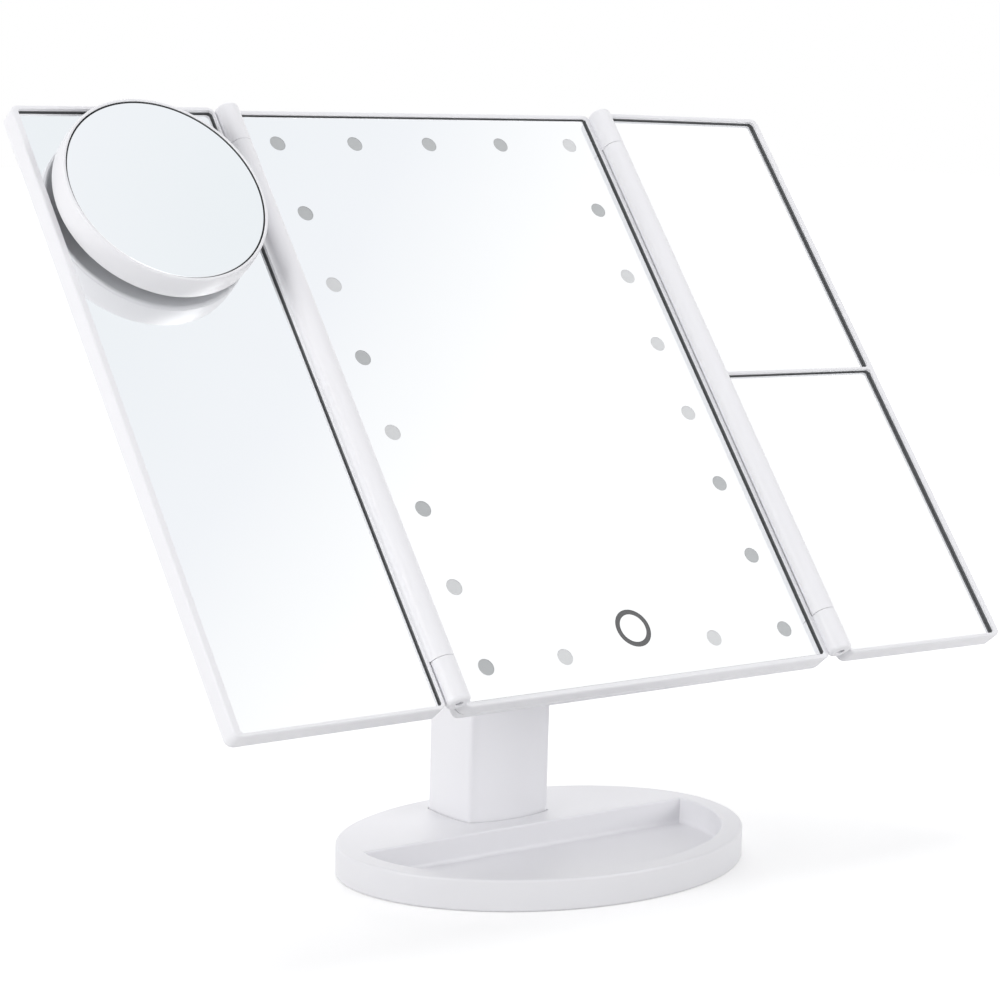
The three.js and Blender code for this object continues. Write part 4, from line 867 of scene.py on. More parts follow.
@dataclass
class Column:
    """Hollow column with a round slotted top, a battery door and a power inlet."""

    width: float = 37.4
    depth: float = 26.5
    y: float = 32.15
    corner: float = 2.0
    front_bow: float = 3.0
    side_bow: float = 0.8
    back_bow: float = 0.6
    wall: float = 2.4
    bottom: float = 10.4
    top_radius: float = 15.05
    slot_width: float = 17.2
    slot_reach: float = 10.5
    cap_radius: float = 5.6
    door: tuple[float, float] = (27.4, 99.5)
    door_middle: float = 80.45
    door_front: float = 44.0
    door_corner: float = 1.2
    opening: tuple[float, float] = (22.4, 94.5)
    opening_front: float = 41.5
    inlet_z: float = 21.0
    inlet: tuple[float, float] = (9.0, 3.4)
    inlet_front: float = 41.0
    behind: float = 50.0
    roof: float = 136.55
    bore: tuple[float, float] = (14.2, 30.0)
    door_thickness: float = 2.0
    bars: int = 4
    bar_width: float = 13.0
    bar_narrows: float = 1.8
    bar_top: float = 123.5
    bar_pitch: float = 2.6
    cell_at: tuple[float, float] = (5.7, 37.0)
    cell_length: float = 44.5
    curve_steps: int = 14
    ease: float = 0.3
    ease_angle: float = 50.0

    def plan(self, grow: Array) -> Array:
        """Plan outlines, one for each growth. Each of the eight sides is a curve of the second degree."""
        grow = np.atleast_1d(np.asarray(grow, float))
        x, y, r = self.width / 2 + grow, self.depth / 2 + grow, self.corner
        zero = np.zeros_like(x)
        knots = [(-x + r, -y), (zero, -y - 2 * self.front_bow), (x - r, -y), (x, -y), (x, -y + r),
                 (x + 2 * self.side_bow, zero), (x, y - r), (x, y), (x - r, y), (zero, y + 2 * self.back_bow),
                 (-x + r, y), (-x, y), (-x, y - r), (-x - 2 * self.side_bow, zero), (-x, -y + r), (-x, -y)]
        knots = np.array([np.stack(k, -1) for k in knots]).transpose(1, 0, 2)
        starts, pulls, ends = knots[:, 0::2], knots[:, 1::2], np.roll(knots[:, 0::2], -1, axis=1)
        share = (np.arange(self.curve_steps) / self.curve_steps)[None, None, :, None]
        curve = bent(starts[:, :, None], pulls[:, :, None], ends[:, :, None], share)
        return curve.reshape(len(grow), -1, 2) + [0, self.y]

    def body(self) -> Skin:
        """Outer skin.

        Above the tilt axis the depth of each ring shrinks as the cosine of the climb, so that the top is
        round from front to back.
        """
        climb = np.linspace(0, np.pi / 2, 26)[1:]
        foot = rounded_path([(-2, self.bottom, 0), (0, self.bottom, 0.25), (0, PIVOT[2], 0)], steps=3)[1:]
        rings = stood(self.plan(foot[:, 0]), foot[:, 1], Axis.Z)
        dome = stood(self.plan(np.zeros(len(climb))), PIVOT[2] + self.top_radius * np.sin(climb), Axis.Z)
        dome[:, :, 1] = PIVOT[1] + (dome[:, :, 1] - PIVOT[1]) * np.cos(climb)[:, None]
        skin = Skin()
        index = skin.rings(np.concatenate([rings, dome]))
        skin.fill(index[0])
        return skin

    def cuts(self) -> tuple[Skin, ...]:
        """Everything that is cut from the column.

        Returns:
            Its hollow, the slot, both cap recesses, the door's recess and opening, and the inlet's hole.
        """
        hollow = stood(self.plan([-self.wall] * 2), [self.bottom - 2, self.roof], Axis.Z)
        front, back = PIVOT[1] - 2 * self.top_radius, PIVOT[1] + self.slot_reach
        low, high = PIVOT[2] - self.slot_reach, PIVOT[2] + 2 * self.top_radius
        corners = [(front, high, 0), (back, high, 0), (back, low, 1.5), (front, low, 0)]
        slot = stood(rounded_path(corners, steps=6), [-self.slot_width / 2, self.slot_width / 2], Axis.X)
        ring = circle(self.cap_radius + FIT, PIVOT[1], PIVOT[2])
        bores = [stood(ring, np.sort(sign * np.array(self.bore)), Axis.X) for _, sign in SIDES]
        door = (self.door[0] + 2 * FIT, self.door[1] + 2 * FIT)
        inlet = (self.inlet[0] + 2 * FIT, self.inlet[1] + 2 * FIT)
        openings = ((door, self.door_corner, self.door_front - FIT, self.door_middle),
                    (self.opening, 1.0, self.opening_front, self.door_middle),
                    (inlet, 1.9, self.inlet_front, self.inlet_z))
        holes = [framed(size, corner, straight_edge(start, self.behind), (0, z))
                 for size, corner, start, z in openings]
        return tuple(Skin().capped(rings) for rings in (hollow, slot, *bores, *holes))

    def bowed(self, x: Array | float) -> Array | float:
        """Place of the column's back face at x.

        Its middle stands proud by the bow times one minus the squared share of the half width.
        """
        return self.y + self.depth / 2 + self.back_bow * (1 - (x / (self.width / 2 - self.corner)) ** 2)

    def battery_door(self) -> Skin:
        """Plate that follows the back face, with eased edges and four grip bars near its top."""
        thick = self.door_thickness
        corners = [(3, 0, 0), (0, 0, 0.2), (0, thick / 2, 0), (0, thick, 0.35), (3, thick, 0)]
        inner = np.linspace(0.6, self.door[0] / 2 - 0.2, 14)
        face = np.stack([inner, np.full(len(inner), thick)], -1)
        path = np.concatenate([rounded_path(corners, steps=3)[1:-1], face])
        rings = framed(self.door, self.door_corner, path, (0, self.door_middle))
        share = rings[:, :, 1] / thick
        rings[:, :, 1] = self.door_front * (1 - share) + (self.bowed(rings[:, :, 0]) - 0.05) * share
        skin = Skin().capped(rings)
        bar = slab_edge(0, 0.7, 0, 0.3) + [0, self.bowed(0.0) - 0.42]
        for row in range(self.bars):
            size = (self.bar_width - self.bar_narrows * row, 1.3)
            skin.capped(framed(size, 0.6, bar, (0, self.bar_top - self.bar_pitch * row), least=0.2))
        return skin

    def power_inlet(self) -> Skin:
        """Rolled metal can with its tongue."""
        path = np.array([(0.5, 39.7), (0.5, 45.5), (0.4, 45.68), (0.12, 45.68), (0, 45.55), (0, 38.7)])
        middle = (0, self.inlet_z)
        tongue = framed((6.0, 0.7), 0.3, slab_edge(39.0, 44.7, 0, 0.15), middle, least=0.1)
        return Skin().capped(framed(self.inlet, 1.6, path, middle)).capped(tongue, ink=1)

    def cell(self, x: float, bottom: float, upright: bool) -> Skin:
        """One cell: a sleeve with rolled-in shoulders, a raised end and a flat end."""
        shoulder = self.cell_length - 1
        profile = rounded_path([
            (0, 0, 0), (4.1, 0, 0.1), (4.4, 0.35, 0.1), (5.2, 0.35, 0.35), (5.2, shoulder, 0.45),
            (4.3, shoulder, 0.1), (3.9, shoulder - 0.3, 0.1), (1.9, shoulder - 0.1, 0.2),
            (1.9, self.cell_length, 0.35), (0, self.cell_length, 0)], steps=3)
        flip = HERE if upright else shifted(z=self.cell_length) @ turned_about(Axis.X, 180.0)
        return Skin().turned(profile, shifted(x, self.cell_at[1], bottom) @ flip)

    def build(self, bench: Bench) -> None:
        """Makes the pieces of the column."""
        shell = bench.piece("column", self.body(), STAND, [WHITE], ["column_shell"], self.cuts())
        ease = shell.modifiers.new("ease", "BEVEL")
        ease.width = self.ease * MM
        ease.segments = 2
        ease.limit_method = "ANGLE"
        ease.angle_limit = np.radians(self.ease_angle)
        ease.use_clamp_overlap = True
        ease.harden_normals = True
        bench.piece("battery_cover", self.battery_door(), DOOR, [WHITE], ["battery_door"])
        bench.piece("inlet_can", self.power_inlet(), STAND, [STEEL, KNOB], ["power_inlet"])
        for side, sign in SIDES:
            for row in ("lower", "upper"):
                node = f"battery_{side}_{row}"
                low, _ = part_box(node)
                cell = self.cell(sign * self.cell_at[0], low.z / MM, sign > 0)
                bench.piece(f"cell_{side}_{row}", cell, STAND, [SLEEVE], [node])
            bench.dress(f"battery_contact_top_{side}", STEEL)
            bench.dress(f"column_screw_{side}", STEEL)
        bench.dress("battery_contact_bottom", STEEL)
        bench.dress("battery_holder", INNER)


# Tilt hinge


@dataclass
class TiltHinge:
    """Axle through the column's top, and the bracket on the head that turns on it."""

    tongue_width: float = 14.0
    tongue_radius: float = 9.0
    root: float = 10.0
    plate: tuple[float, float] = (46.0, 34.0)
    plate_thickness: float = 2.6
    back: float = -19.0
    flare: float = 2.6
    screw_at: tuple[float, float] = (17.0, 11.5)
    screw_sunk: float = 0.25
    cap_radius: float = 5.6
    cap_ends: tuple[float, float] = (16.3, 19.2)
    washer_radii: tuple[float, float] = (2.8, 8.0)
    washer_ends: tuple[float, float] = (7.3, 8.3)
    axle_radii: tuple[float, float] = (2.5, 4.5)
    axle_ends: tuple[float, float] = (-16.0, 13.9)
    axle_shoulder: float = -14.2

    def bracket(self) -> Skin:
        """Plate and tongue in one skin.

        Rings of one count of points climb from the plate to the axle. Their half height follows the
        straight sides that touch the round end and then the circle of that end. Near the plate they flare
        as a quarter circle.
        """
        edge = slab_edge(0, self.plate_thickness, 0.3, 0.6) + [0, self.back - self.plate_thickness]
        sheet = framed(self.plate, 4.0, edge)
        turn = np.linspace(0, np.pi / 2, 7)
        rise = self.back + self.flare * (1 - np.cos(turn))
        spread = self.flare * (1 - np.sin(turn))
        tip = self.tongue_radius * np.sin(np.linspace(-0.2, np.pi / 2, 18))
        y = np.concatenate([rise, np.linspace(rise[-1], -2, 8)[1:], tip])
        grown = np.concatenate([spread, np.zeros(len(y) - len(spread))])
        touch = np.arccos(self.tongue_radius / np.hypot(self.back, self.root))
        touch += np.arctan2(self.root, -self.back)
        edge_y, edge_z = -self.tongue_radius * np.cos(touch), self.tongue_radius * np.sin(touch)
        straight = self.root + (edge_z - self.root) * (y - self.back) / (edge_y - self.back)
        ring = np.sqrt(np.maximum(self.tongue_radius ** 2 - y ** 2, 0.02))
        half = np.where(y < edge_y, straight, ring) + grown
        wide = self.tongue_width / 2 + grown
        corner = np.minimum(1.0 + grown, 0.8 * half)
        loops = [rounded_rings((2 * across, 2 * high), ease, np.zeros(1), least=0.05)[0]
                 for across, high, ease in zip(wide, half, corner)]
        return Skin().capped(np.concatenate([sheet, stood(np.array(loops), y, Axis.Y)]))

    def build(self, bench: Bench) -> None:
        """Makes the pieces of the hinge."""
        bench.piece("tilt_tongue", self.bracket(), HEAD, [WHITE], ["tilt_bracket"])
        spots = [(x * self.screw_at[0], z * self.screw_at[1]) for x in (-1, 1) for z in (-1, 1)]
        for number, (x, z) in enumerate(spots, start=1):
            screw = PanScrew(length=4.4).skin(shifted(x, self.back + self.screw_sunk, z)
                                              @ turned_about(Axis.X, -90.0))
            bench.piece(f"tongue_screw_{number}", screw, HEAD, [STEEL], [f"bracket_screw_{number}"])
        across = shifted(0, PIVOT[1], PIVOT[2]) @ turned_about(Axis.Y, 90.0)
        (low, high), radius = self.cap_ends, self.cap_radius
        cap = rounded_path([(0, low, 0), (radius, low, 0), (radius, high, 0.5), (radius - 1.2, high, 0.2),
                            (radius - 1.5, high - 0.2, 0.2), (0, high - 0.2, 0)], steps=4)
        (near, far), (low, high) = self.washer_radii, self.washer_ends
        washer = rounded_path([(near + 0.2, low, 0), (far, low, 0.2), (far, high, 0.2), (near, high, 0.0),
                               (near, low, 0.0), (near + 0.2, low, 0)], steps=3)
        for side, sign in SIDES:
            bench.piece(f"side_cap_{side}", Skin().turned(cap * [1, sign], across), STAND, [WHITE],
                        [f"axle_cap_{side}"])
            bench.piece(f"washer_{side}", Skin().turned(washer * [1, sign], across), STAND, [STEEL],
                        [f"friction_washer_{side}"])
        (near, far), (low, high) = self.axle_radii, self.axle_ends
        axle = rounded_path([(0, low, 0), (far, low, 0.4), (far, self.axle_shoulder, 0.1),
                             (near, self.axle_shoulder, 0), (near, high, 0.4), (0, high, 0)], steps=3)
        bench.piece("axle", Skin().turned(axle, across), STAND, [STEEL], ["tilt_axle"])
        bench.dress("tilt_axle_nut", STEEL)


# Wing hinges


@dataclass(frozen=True)
class Knuckle:
    """Round barrel about the hinge axis, with a web towards what carries it."""

    radius: float = 4.5
    web_back: float = 4.2
    ease: float = 0.14
    end_ease: float = 1.3
    pin: float = 1.5
    pin_depth: float = 1.4
    blend_from: float = -1.5
    blend_reach: float = 4.7
    sunk: float = 0.02
    steps: int = 64

    def barrel(self, skin: Skin, low: float, high: float, side: int = 1) -> None:
        """Adds a plain barrel whose ends are eased and have the pin's hole.

        Args:
            skin: the skin to add to.
            low: lower end.
            high: upper end.
            side: which end has the hole, 1 for the upper and -1 for the lower.
        """
        near, far = (high, low) if side > 0 else (low, high)
        floor = near - side * self.pin_depth
        profile = rounded_path([
            (0, floor, 0), (self.pin, floor, 0), (self.pin, near, 0.12), (self.radius, near, self.end_ease),
            (self.radius, far, self.ease), (0, far, 0)])
        skin.turned(profile, steps=self.steps)

    def web(self, skin: Skin, low: float, high: float, reach: float, front: float) -> None:
        """Adds a flat web from inside the barrel to the frame.

        Args:
            skin: the skin to add to.
            low: lower end.
            high: upper end.
            reach: signed distance to the web's far end.
            front: depth of its front face.
        """
        size = (abs(reach), self.web_back - front)
        middle = (reach / 2, front + size[1] / 2)
        skin.capped(framed(size, 0.2, slab_edge(low, high, 0.2, 0.2), middle, 0.05, Axis.Z))

    def long_body(self, skin: Skin, half: float, reach: float, side: int) -> None:
        """Adds the long knuckle of a wing, whose barrel runs into the wing in one curve.

        The barrel is its radius times the cosine and sine of the turn. From it, a curve of the second degree
        leads to the wing's front.

        Args:
            skin: the skin to add to.
            half: half its length.
            reach: how far it goes into the wing.
            side: 1 where the wing is towards +X, -1 where it is towards -X.
        """
        first = np.arcsin(self.blend_from / self.radius)
        last = np.arcsin(self.web_back / self.radius)
        turn = np.linspace(first, last - 2 * np.pi, self.steps)
        barrel = self.radius * np.stack([np.cos(turn), np.sin(turn)], -1)
        back = np.linspace(barrel[-1], (reach, self.web_back), 5)[1:]
        share = np.linspace(0, 1, 12)[:-1, None]
        start, pull = np.array([reach, self.sunk]), np.array([self.blend_reach, self.sunk])
        curve = bent(start, pull, barrel[:1], share)
        loop = np.concatenate([barrel, back, curve]) * [side, 1]
        path = slab_edge(-half, half, self.ease, self.ease, steps=5)
        scale = 1 - path[:, 0] / self.radius
        skin.capped(stood(loop[None] * scale[:, None, None], path[:, 1], Axis.Z))


KNUCKLE = Knuckle()
MIDDLE_HALF = 105.53
END_LOW = 105.67
END_HIGH = 122.0
WEB_END = 120.6
WEB_REACH = 5.8
PIN_RADIUS = 1.2
PIN_LOW = 92.4
PIN_LENGTH = 29.0


# Head


class Inks(Enum):
    """Finishes of a frame, by number: its white plastic and the painted gap shade."""

    OUTSIDE = 0
    # Painted shade in the gaps and coves.
    SEAL = 1


class GlassInks(Enum):
    """Finishes of the middle glass, by number."""

    SILVER = 0
    FROST = 1
    RING = 2
    PALE = 3


def glass_plate(size: tuple[float, float], middle: tuple[float, float], front: float,
                thickness: float = 2.0) -> tuple[Skin, Array]:
    """Glass with a ground edge, and its open front loop.

    Args:
        size: width and height.
        middle: centre of the plate.
        front: depth of its face.
        thickness: how thick it is.

    Returns:
        The skin, and the point numbers of the loop that its face has to fill.
    """
    skin = Skin()
    back = front + thickness
    path = np.array([(0.2 + HOLD, front), (0.2, front), (0.0, front + 0.2), (0.0, back - 0.15),
                     (0.15, back)], float)
    index = skin.rings(framed(size, 0.7, path, middle))
    skin.fill(index[-1])
    return skin, index[0]


@dataclass
class CentrePanel:
    """Lighted middle leaf: frame, glass with its windows and touch ring, back cover and switch."""

    width: float = 166.6
    height: float = 2 * PANEL_END
    corner: float = 3.0
    edge: float = 0.8
    face: float = -30.0
    lip_front: float = -31.2
    frame_back: float = -25.5
    pocket_side: float = 2.65
    pocket_end: float = 1.8
    shade_band_side: float = 1.0
    shade_band_end: float = 0.55
    ledge: float = 3.2
    cove: float = 4.85
    window_radius: float = 3.15
    window_pitch: tuple[float, float] = (34.0, 31.05)
    pale: tuple[tuple[float, float], ...] = ((2, 3.5), (2, 1.5), (2, 0.5), (2, -0.5), (-2, 1.5), (-2, -0.5),
                                             (-2, -2.5), (-1, -3.5), (1, -3.5))
    etch: float = 0.12
    ring_z: float = -101.0
    ring_radii: tuple[float, float] = (7.4, 5.5)
    shell_front: float = -25.2
    shell_back: float = -19.0
    shell_floor: float = -20.8
    shell_wall: float = 2.1
    shell_edge: float = 5.0
    seat: tuple[float, float] = (46.6, 34.6)
    seat_floor: float = -21.9
    seat_corner: float = 4.0
    well: tuple[float, float] = (49.6, 37.6)
    well_floor: float = -23.4
    switch: tuple[float, float] = (52.0, -97.1)
    slot: tuple[float, float] = (7.1, 3.6)
    slide: float = 1.75
    push_from: float = 0.85
    push_over: float = 0.6

    def windows(self) -> list[tuple[float, float, int]]:
        """Middle and ink of each light's window.

        They go all round the edge, with the middle of the bottom row left free. Some are paler than the
        others.
        """
        width, height = self.window_pitch
        made = []
        for column in np.arange(5) - 2:
            for row in np.arange(8) - 3.5:
                at_edge = abs(column) == 2 or abs(row) == 3.5
                if at_edge and not (column == 0 and row < 0):
                    ink = GlassInks.PALE if (column, row) in self.pale else GlassInks.FROST
                    made.append((column * width, row * height, ink.value))
        return made

    def frame_ring(self) -> Skin:
        """Rim of the leaf: a closed section carried round a rectangle with round corners.

        The section's inset is worked out for the ends. On the sides it is pushed in further, from nothing
        at the outer edge to the whole difference at the pocket. Between the end knuckles, the round edge of
        the sides gives way to a cove about the hinge axis: its radius times the cosine and sine of the
        turn. There each ring has four more points, and the two middle ones of each side lie in the cove.
        """
        floor = self.face + 2.3
        section = rounded_path([
            (self.pocket_end + self.ledge, self.frame_back, 0), (0, self.frame_back, 0.3),
            (0, self.lip_front, self.edge), (self.pocket_end, self.lip_front, 0.22),
            (self.pocket_end, self.face - self.shade_band_end, 0), (self.pocket_end, floor, 0),
            (self.pocket_end + self.ledge, floor, 0)])
        beside, below = HINGE_X - self.width / 2, self.lip_front - HINGE_Y
        first, last = 9, 17
        turn = np.linspace(np.arccos(beside / self.cove), np.arcsin(below / self.cove), last - first)
        coved = section.copy()
        coved[first:last, 0] = self.cove * np.cos(turn) - beside
        coved[first:last, 1] = HINGE_Y + self.cove * np.sin(turn)
        share = np.clip((section[:, 0] - self.push_from) / self.push_over, 0, 1)
        push = (self.pocket_side - self.pocket_end) * share
        insets = np.stack([section[:, 0] + push, section[:, 0]], -1)
        loops = rounded_rings((self.width, self.height), self.corner, insets, least=0.5)
        plain, hollowed = self.width / 2 - insets[:, 0], self.width / 2 - coved[:, 0] - push
        across = np.stack([plain, hollowed, hollowed, plain], -1)
        along = np.broadcast_to(END_LOW * np.array([1, 1, -1, -1]), across.shape)
        left, right = np.stack([-across, along], -1), np.stack([across, -along], -1)
        half = 2 * (CORNER_STEPS + 1)
        coves = [half + 1, 2 * half + 5]
        loops = np.concatenate([loops[:, :half], left, loops[:, half:], right], 1)
        levels = np.repeat(section[:, 1:], loops.shape[1], 1)
        levels[:, [point + step for point in coves for step in (0, 1)]] = coved[:, 1:]
        # The lowest band of each pocket wall gets painted shade for the dark gap round the glass; on the
        # sides the band is taller.
        shade_row = len(section) - 3
        at_side = abs(loops[shade_row, :, 0]) > self.width / 2 - self.pocket_side - 0.1
        levels[shade_row, at_side] = self.face - self.shade_band_side
        skin = Skin()
        index = skin.lay(np.insert(loops, 1, levels, axis=2))
        skin.join(index[:shade_row], index[1:shade_row + 1], Inks.OUTSIDE.value)
        # The cove faces beside the long knuckle get painted shade.
        for face in (np.arange(first, last - 2)[:, None] * loops.shape[1] + coves).ravel():
            skin.inks[face] = Inks.SEAL.value
        skin.join(index[shade_row:shade_row + 2], index[shade_row + 1:shade_row + 3], Inks.SEAL.value)
        skin.join(index[-1], index[0])
        for side in (-1, 1):
            for end in (-1, 1):
                knuckle = Skin()
                KNUCKLE.barrel(knuckle, *sorted((end * END_LOW, end * END_HIGH)), end)
                low, high = sorted((end * END_LOW, end * WEB_END))
                KNUCKLE.web(knuckle, low, high, -side * WEB_REACH, below - KNUCKLE.sunk)
                skin.take(knuckle, shifted(side * HINGE_X, HINGE_Y))
        return skin

    def glass(self) -> Skin:
        """Silvered glass with frosted windows and the touch ring, all slightly below its face."""
        size = (self.width - 2 * (self.pocket_side + FIT), self.height - 2 * (self.pocket_end + FIT))
        skin, rim = glass_plate(size, (0, 0), self.face)
        levels = [self.face, self.face + self.etch]
        pits = [skin.pit(stood(circle(self.window_radius, x, z, 40), levels, Axis.Y), ink)
                for x, z, ink in self.windows()]
        ink = GlassInks.RING.value
        outer, inner = (skin.rings(stood(circle(radius, 0, self.ring_z, 72), levels, Axis.Y), ink)
                        for radius in self.ring_radii)
        skin.join(outer[1], inner[1], ink)
        skin.fill(inner[0])
        skin.fill(rim, (*pits, outer[0]))
        return skin

    def back_shell(self) -> Skin:
        """Back cover: a dish with a well for the tilt bracket and a slot for the switch."""
        skin = Skin()
        front, back, floor = self.shell_front, self.shell_back, self.shell_floor
        path = rounded_path([(6, floor, 0), (self.shell_wall, floor, 0.6), (self.shell_wall, front, 0),
                             (0, front, 0.3), (0, back, self.shell_edge), (9, back, 0)], steps=10)[1:-1]
        wall = skin.rings(framed((self.width, self.height), self.corner, path, least=1.2))
        middle = (0, -PANEL_RISE)
        seat_corners = [(-2, back, 0), (0, back, 0.3), (0, self.seat_floor, 0), (1, self.seat_floor, 0)]
        seat_path = rounded_path(seat_corners, steps=3)[1:-1]
        seat = skin.pit(framed(self.seat, self.seat_corner, seat_path, middle))
        well = skin.pit(framed(self.well, self.seat_corner, straight_edge(floor, self.well_floor), middle))
        slot_path = rounded_path([(-1, back, 0), (0, back, 0.25), (0, floor, 0)], steps=3)[1:]
        slot = skin.rings(framed(self.slot, 0.5, slot_path, self.switch))
        skin.fill(wall[-1], (seat, slot[0]))
        skin.fill(wall[0], (well, slot[-1]))
        return skin

    def knob(self) -> Skin:
        """Slide switch at its off end: a flange, a knob and three ribs on it."""
        x, z = self.switch[0] - self.slide, self.switch[1]
        skin = Skin()
        skin.capped(framed((6.2, 6.2), 0.5, slab_edge(-22.0, -21.1, 0, 0.1, steps=2), (x, z), 0.2))
        skin.capped(framed((3.0, 3.0), 0.45, slab_edge(-21.8, -18.3, 0, 0.3, steps=4), (x, z), 0.15))
        rib = slab_edge(-18.6, -18.1, 0, 0.12, steps=2)
        for step in (-0.8, 0.0, 0.8):
            skin.capped(framed((0.36, 2.3), 0.17, rib, (x + step, z), 0.04))
        return skin

    def build(self, bench: Bench) -> None:
        """Makes the pieces of the middle leaf."""
        bench.piece("centre_rim", self.frame_ring(), PANEL, [WHITE, SEAL], ["centre_frame"])
        bench.piece("centre_mirror", self.glass(), PANEL, [SILVER, FROST, RING, PALE], ["centre_glass"])
        bench.piece("centre_cover", self.back_shell(), PANEL, [WHITE], ["centre_back_shell"])
        bench.piece("slide_switch", self.knob(), PANEL.at(HERE, "switch"), [KNOB], ["power_switch"])
        for side, sign in SIDES:
            for end, low in (("bottom", -PIN_LOW - PIN_LENGTH), ("top", PIN_LOW)):
                place = shifted(sign * HINGE_X, HINGE_Y, low)
                pin = Skin().turned(rod(PIN_RADIUS, PIN_LENGTH, 0.25), place, 32)
                bench.piece(f"pin_{side}_{end}", pin, PANEL, [STEEL], [f"hinge_pin_{side}_{end}"])
        bench.dress("led_board", BOARD)
        bench.dress("touch_sensor_pad", FOAM)
        bench.dress("control_board", CONTROL)


@dataclass
class Wing:
    """One side leaf, drawn about its hinge axis with the lip's front at depth zero.

    The lips are the widths of the frame's front beside each glass: towards the hinge, away from it, at the
    bottom and at the top. Where there are two glasses, the bar between them has its lower edge a little
    below the middle.
    """

    side: str
    place: Place
    glasses: int
    shade_band_side: float
    width: float = 81.8
    height: float = 2 * PANEL_END
    depth: float = 8.0
    gap: float = 4.8
    corner: float = 3.0
    edge: float = 0.8
    lips: tuple[float, float, float, float] = (1.15, 2.7, 1.35, 1.8)
    drop: float = 2.1
    divider: tuple[float, float] = (-1.0, 0.0)
    shade_band_end: float = 0.85
    pocket_floor: float = 3.2
    pocket_corner: float = 1.4
    glass_gap: float = 0.2
    glass: float = 1.0
    rebate: float = 2.2
    rebate_floor: float = 6.3
    back_inner: tuple[float, float] = (5.2, 4.6)
    knuckle_reach: float = 5.5

    @property
    def sign(self) -> int:
        """1 for the right wing, -1 for the left one."""
        return 1 if self.side == "right" else -1

    @property
    def middle(self) -> float:
        """Middle of the leaf."""
        return self.sign * (self.gap + self.width / 2)

    def pockets(self) -> list[tuple[str, tuple[float, float], tuple[float, float]]]:
        """Name ending, size and middle of each glass pocket."""
        near, far, below, above = self.lips
        width = self.width - near - far
        x = self.sign * (self.gap + near + width / 2)
        low, high = below - self.height / 2, self.height / 2 - above
        spans = [("", low, high)]
        if self.glasses == 2:
            spans = [("_lower", low, self.divider[0]), ("_upper", self.divider[1], high)]
        return [(name, (width, end - start), (x, (start + end) / 2)) for name, start, end in spans]

    def frame_ring(self) -> Skin:
        """Frame of the leaf: an outer wall carried round, glass pockets in front and a rebate behind."""
        skin = Skin()
        inner, floor = self.back_inner
        back = self.rebate_floor
        section = rounded_path([
            (8, floor, 0), (inner, floor, 0), (inner, back, 0), (self.rebate, back, 0),
            (self.rebate, self.depth, 0.15), (0, self.depth, self.edge), (0, 0, self.edge), (3, 0, 0)])[1:-1]
        wall = skin.rings(framed((self.width, self.height), self.corner, section, (self.middle, 0), 0.9))
        skin.fill(wall[0])
        holes = []
        path = rounded_path([(-1, 0, 0), (0, 0, 0.2), (0, self.drop - self.shade_band_end, 0),
                             (0, self.pocket_floor, 0)], steps=4)[1:]
        for _, pocket, middle in self.pockets():
            rings = framed(pocket, self.pocket_corner, path, middle, 1.0)
            # The lowest band of each pocket wall and the pocket floor get painted shade for the dark gap
            # round the glass; on the sides the band is taller.
            at_side = abs(rings[-2, :, 0] - middle[0]) > pocket[0] / 2 - 0.1
            rings[-2, at_side, 1] = self.drop - self.shade_band_side
            index = skin.lay(rings)
            skin.join(index[:-2], index[1:-1], Inks.OUTSIDE.value)
            skin.join(index[-2], index[-1], Inks.SEAL.value)
            skin.fill(index[-1], ink=Inks.SEAL.value)
            holes.append(index[0])
        skin.fill(wall[-1], tuple(holes))
        KNUCKLE.long_body(skin, MIDDLE_HALF, self.knuckle_reach, self.sign)
        return skin

    def back_panel(self) -> Skin:
        """Thin plate that closes the leaf from behind."""
        inset = 2 * (self.rebate + FIT)
        path = slab_edge(self.rebate_floor + FIT, self.depth, 0.2, 0.35)
        size = (self.width - inset, self.height - inset)
        return Skin().capped(framed(size, 1.5, path, (self.middle, 0), 0.8))

    def build(self, bench: Bench) -> None:
        """Makes the pieces of the wing."""
        wing = f"{self.side}_wing"
        bench.piece(f"{self.side}_rim", self.frame_ring(), self.place, [WHITE, SEAL], [f"{wing}_frame"])
        for ending, (width, height), middle in self.pockets():
            size = (width - 2 * self.glass_gap, height - 2 * self.glass_gap)
            skin, rim = glass_plate(size, middle, self.drop, self.glass)
            skin.fill(rim)
            bench.piece(f"{self.side}_mirror{ending}", skin, self.place, [SILVER], [f"{wing}_glass{ending}"])
        bench.piece(f"{self.side}_cover", self.back_panel(), self.place, [WHITE], [f"{wing}_back_panel"])


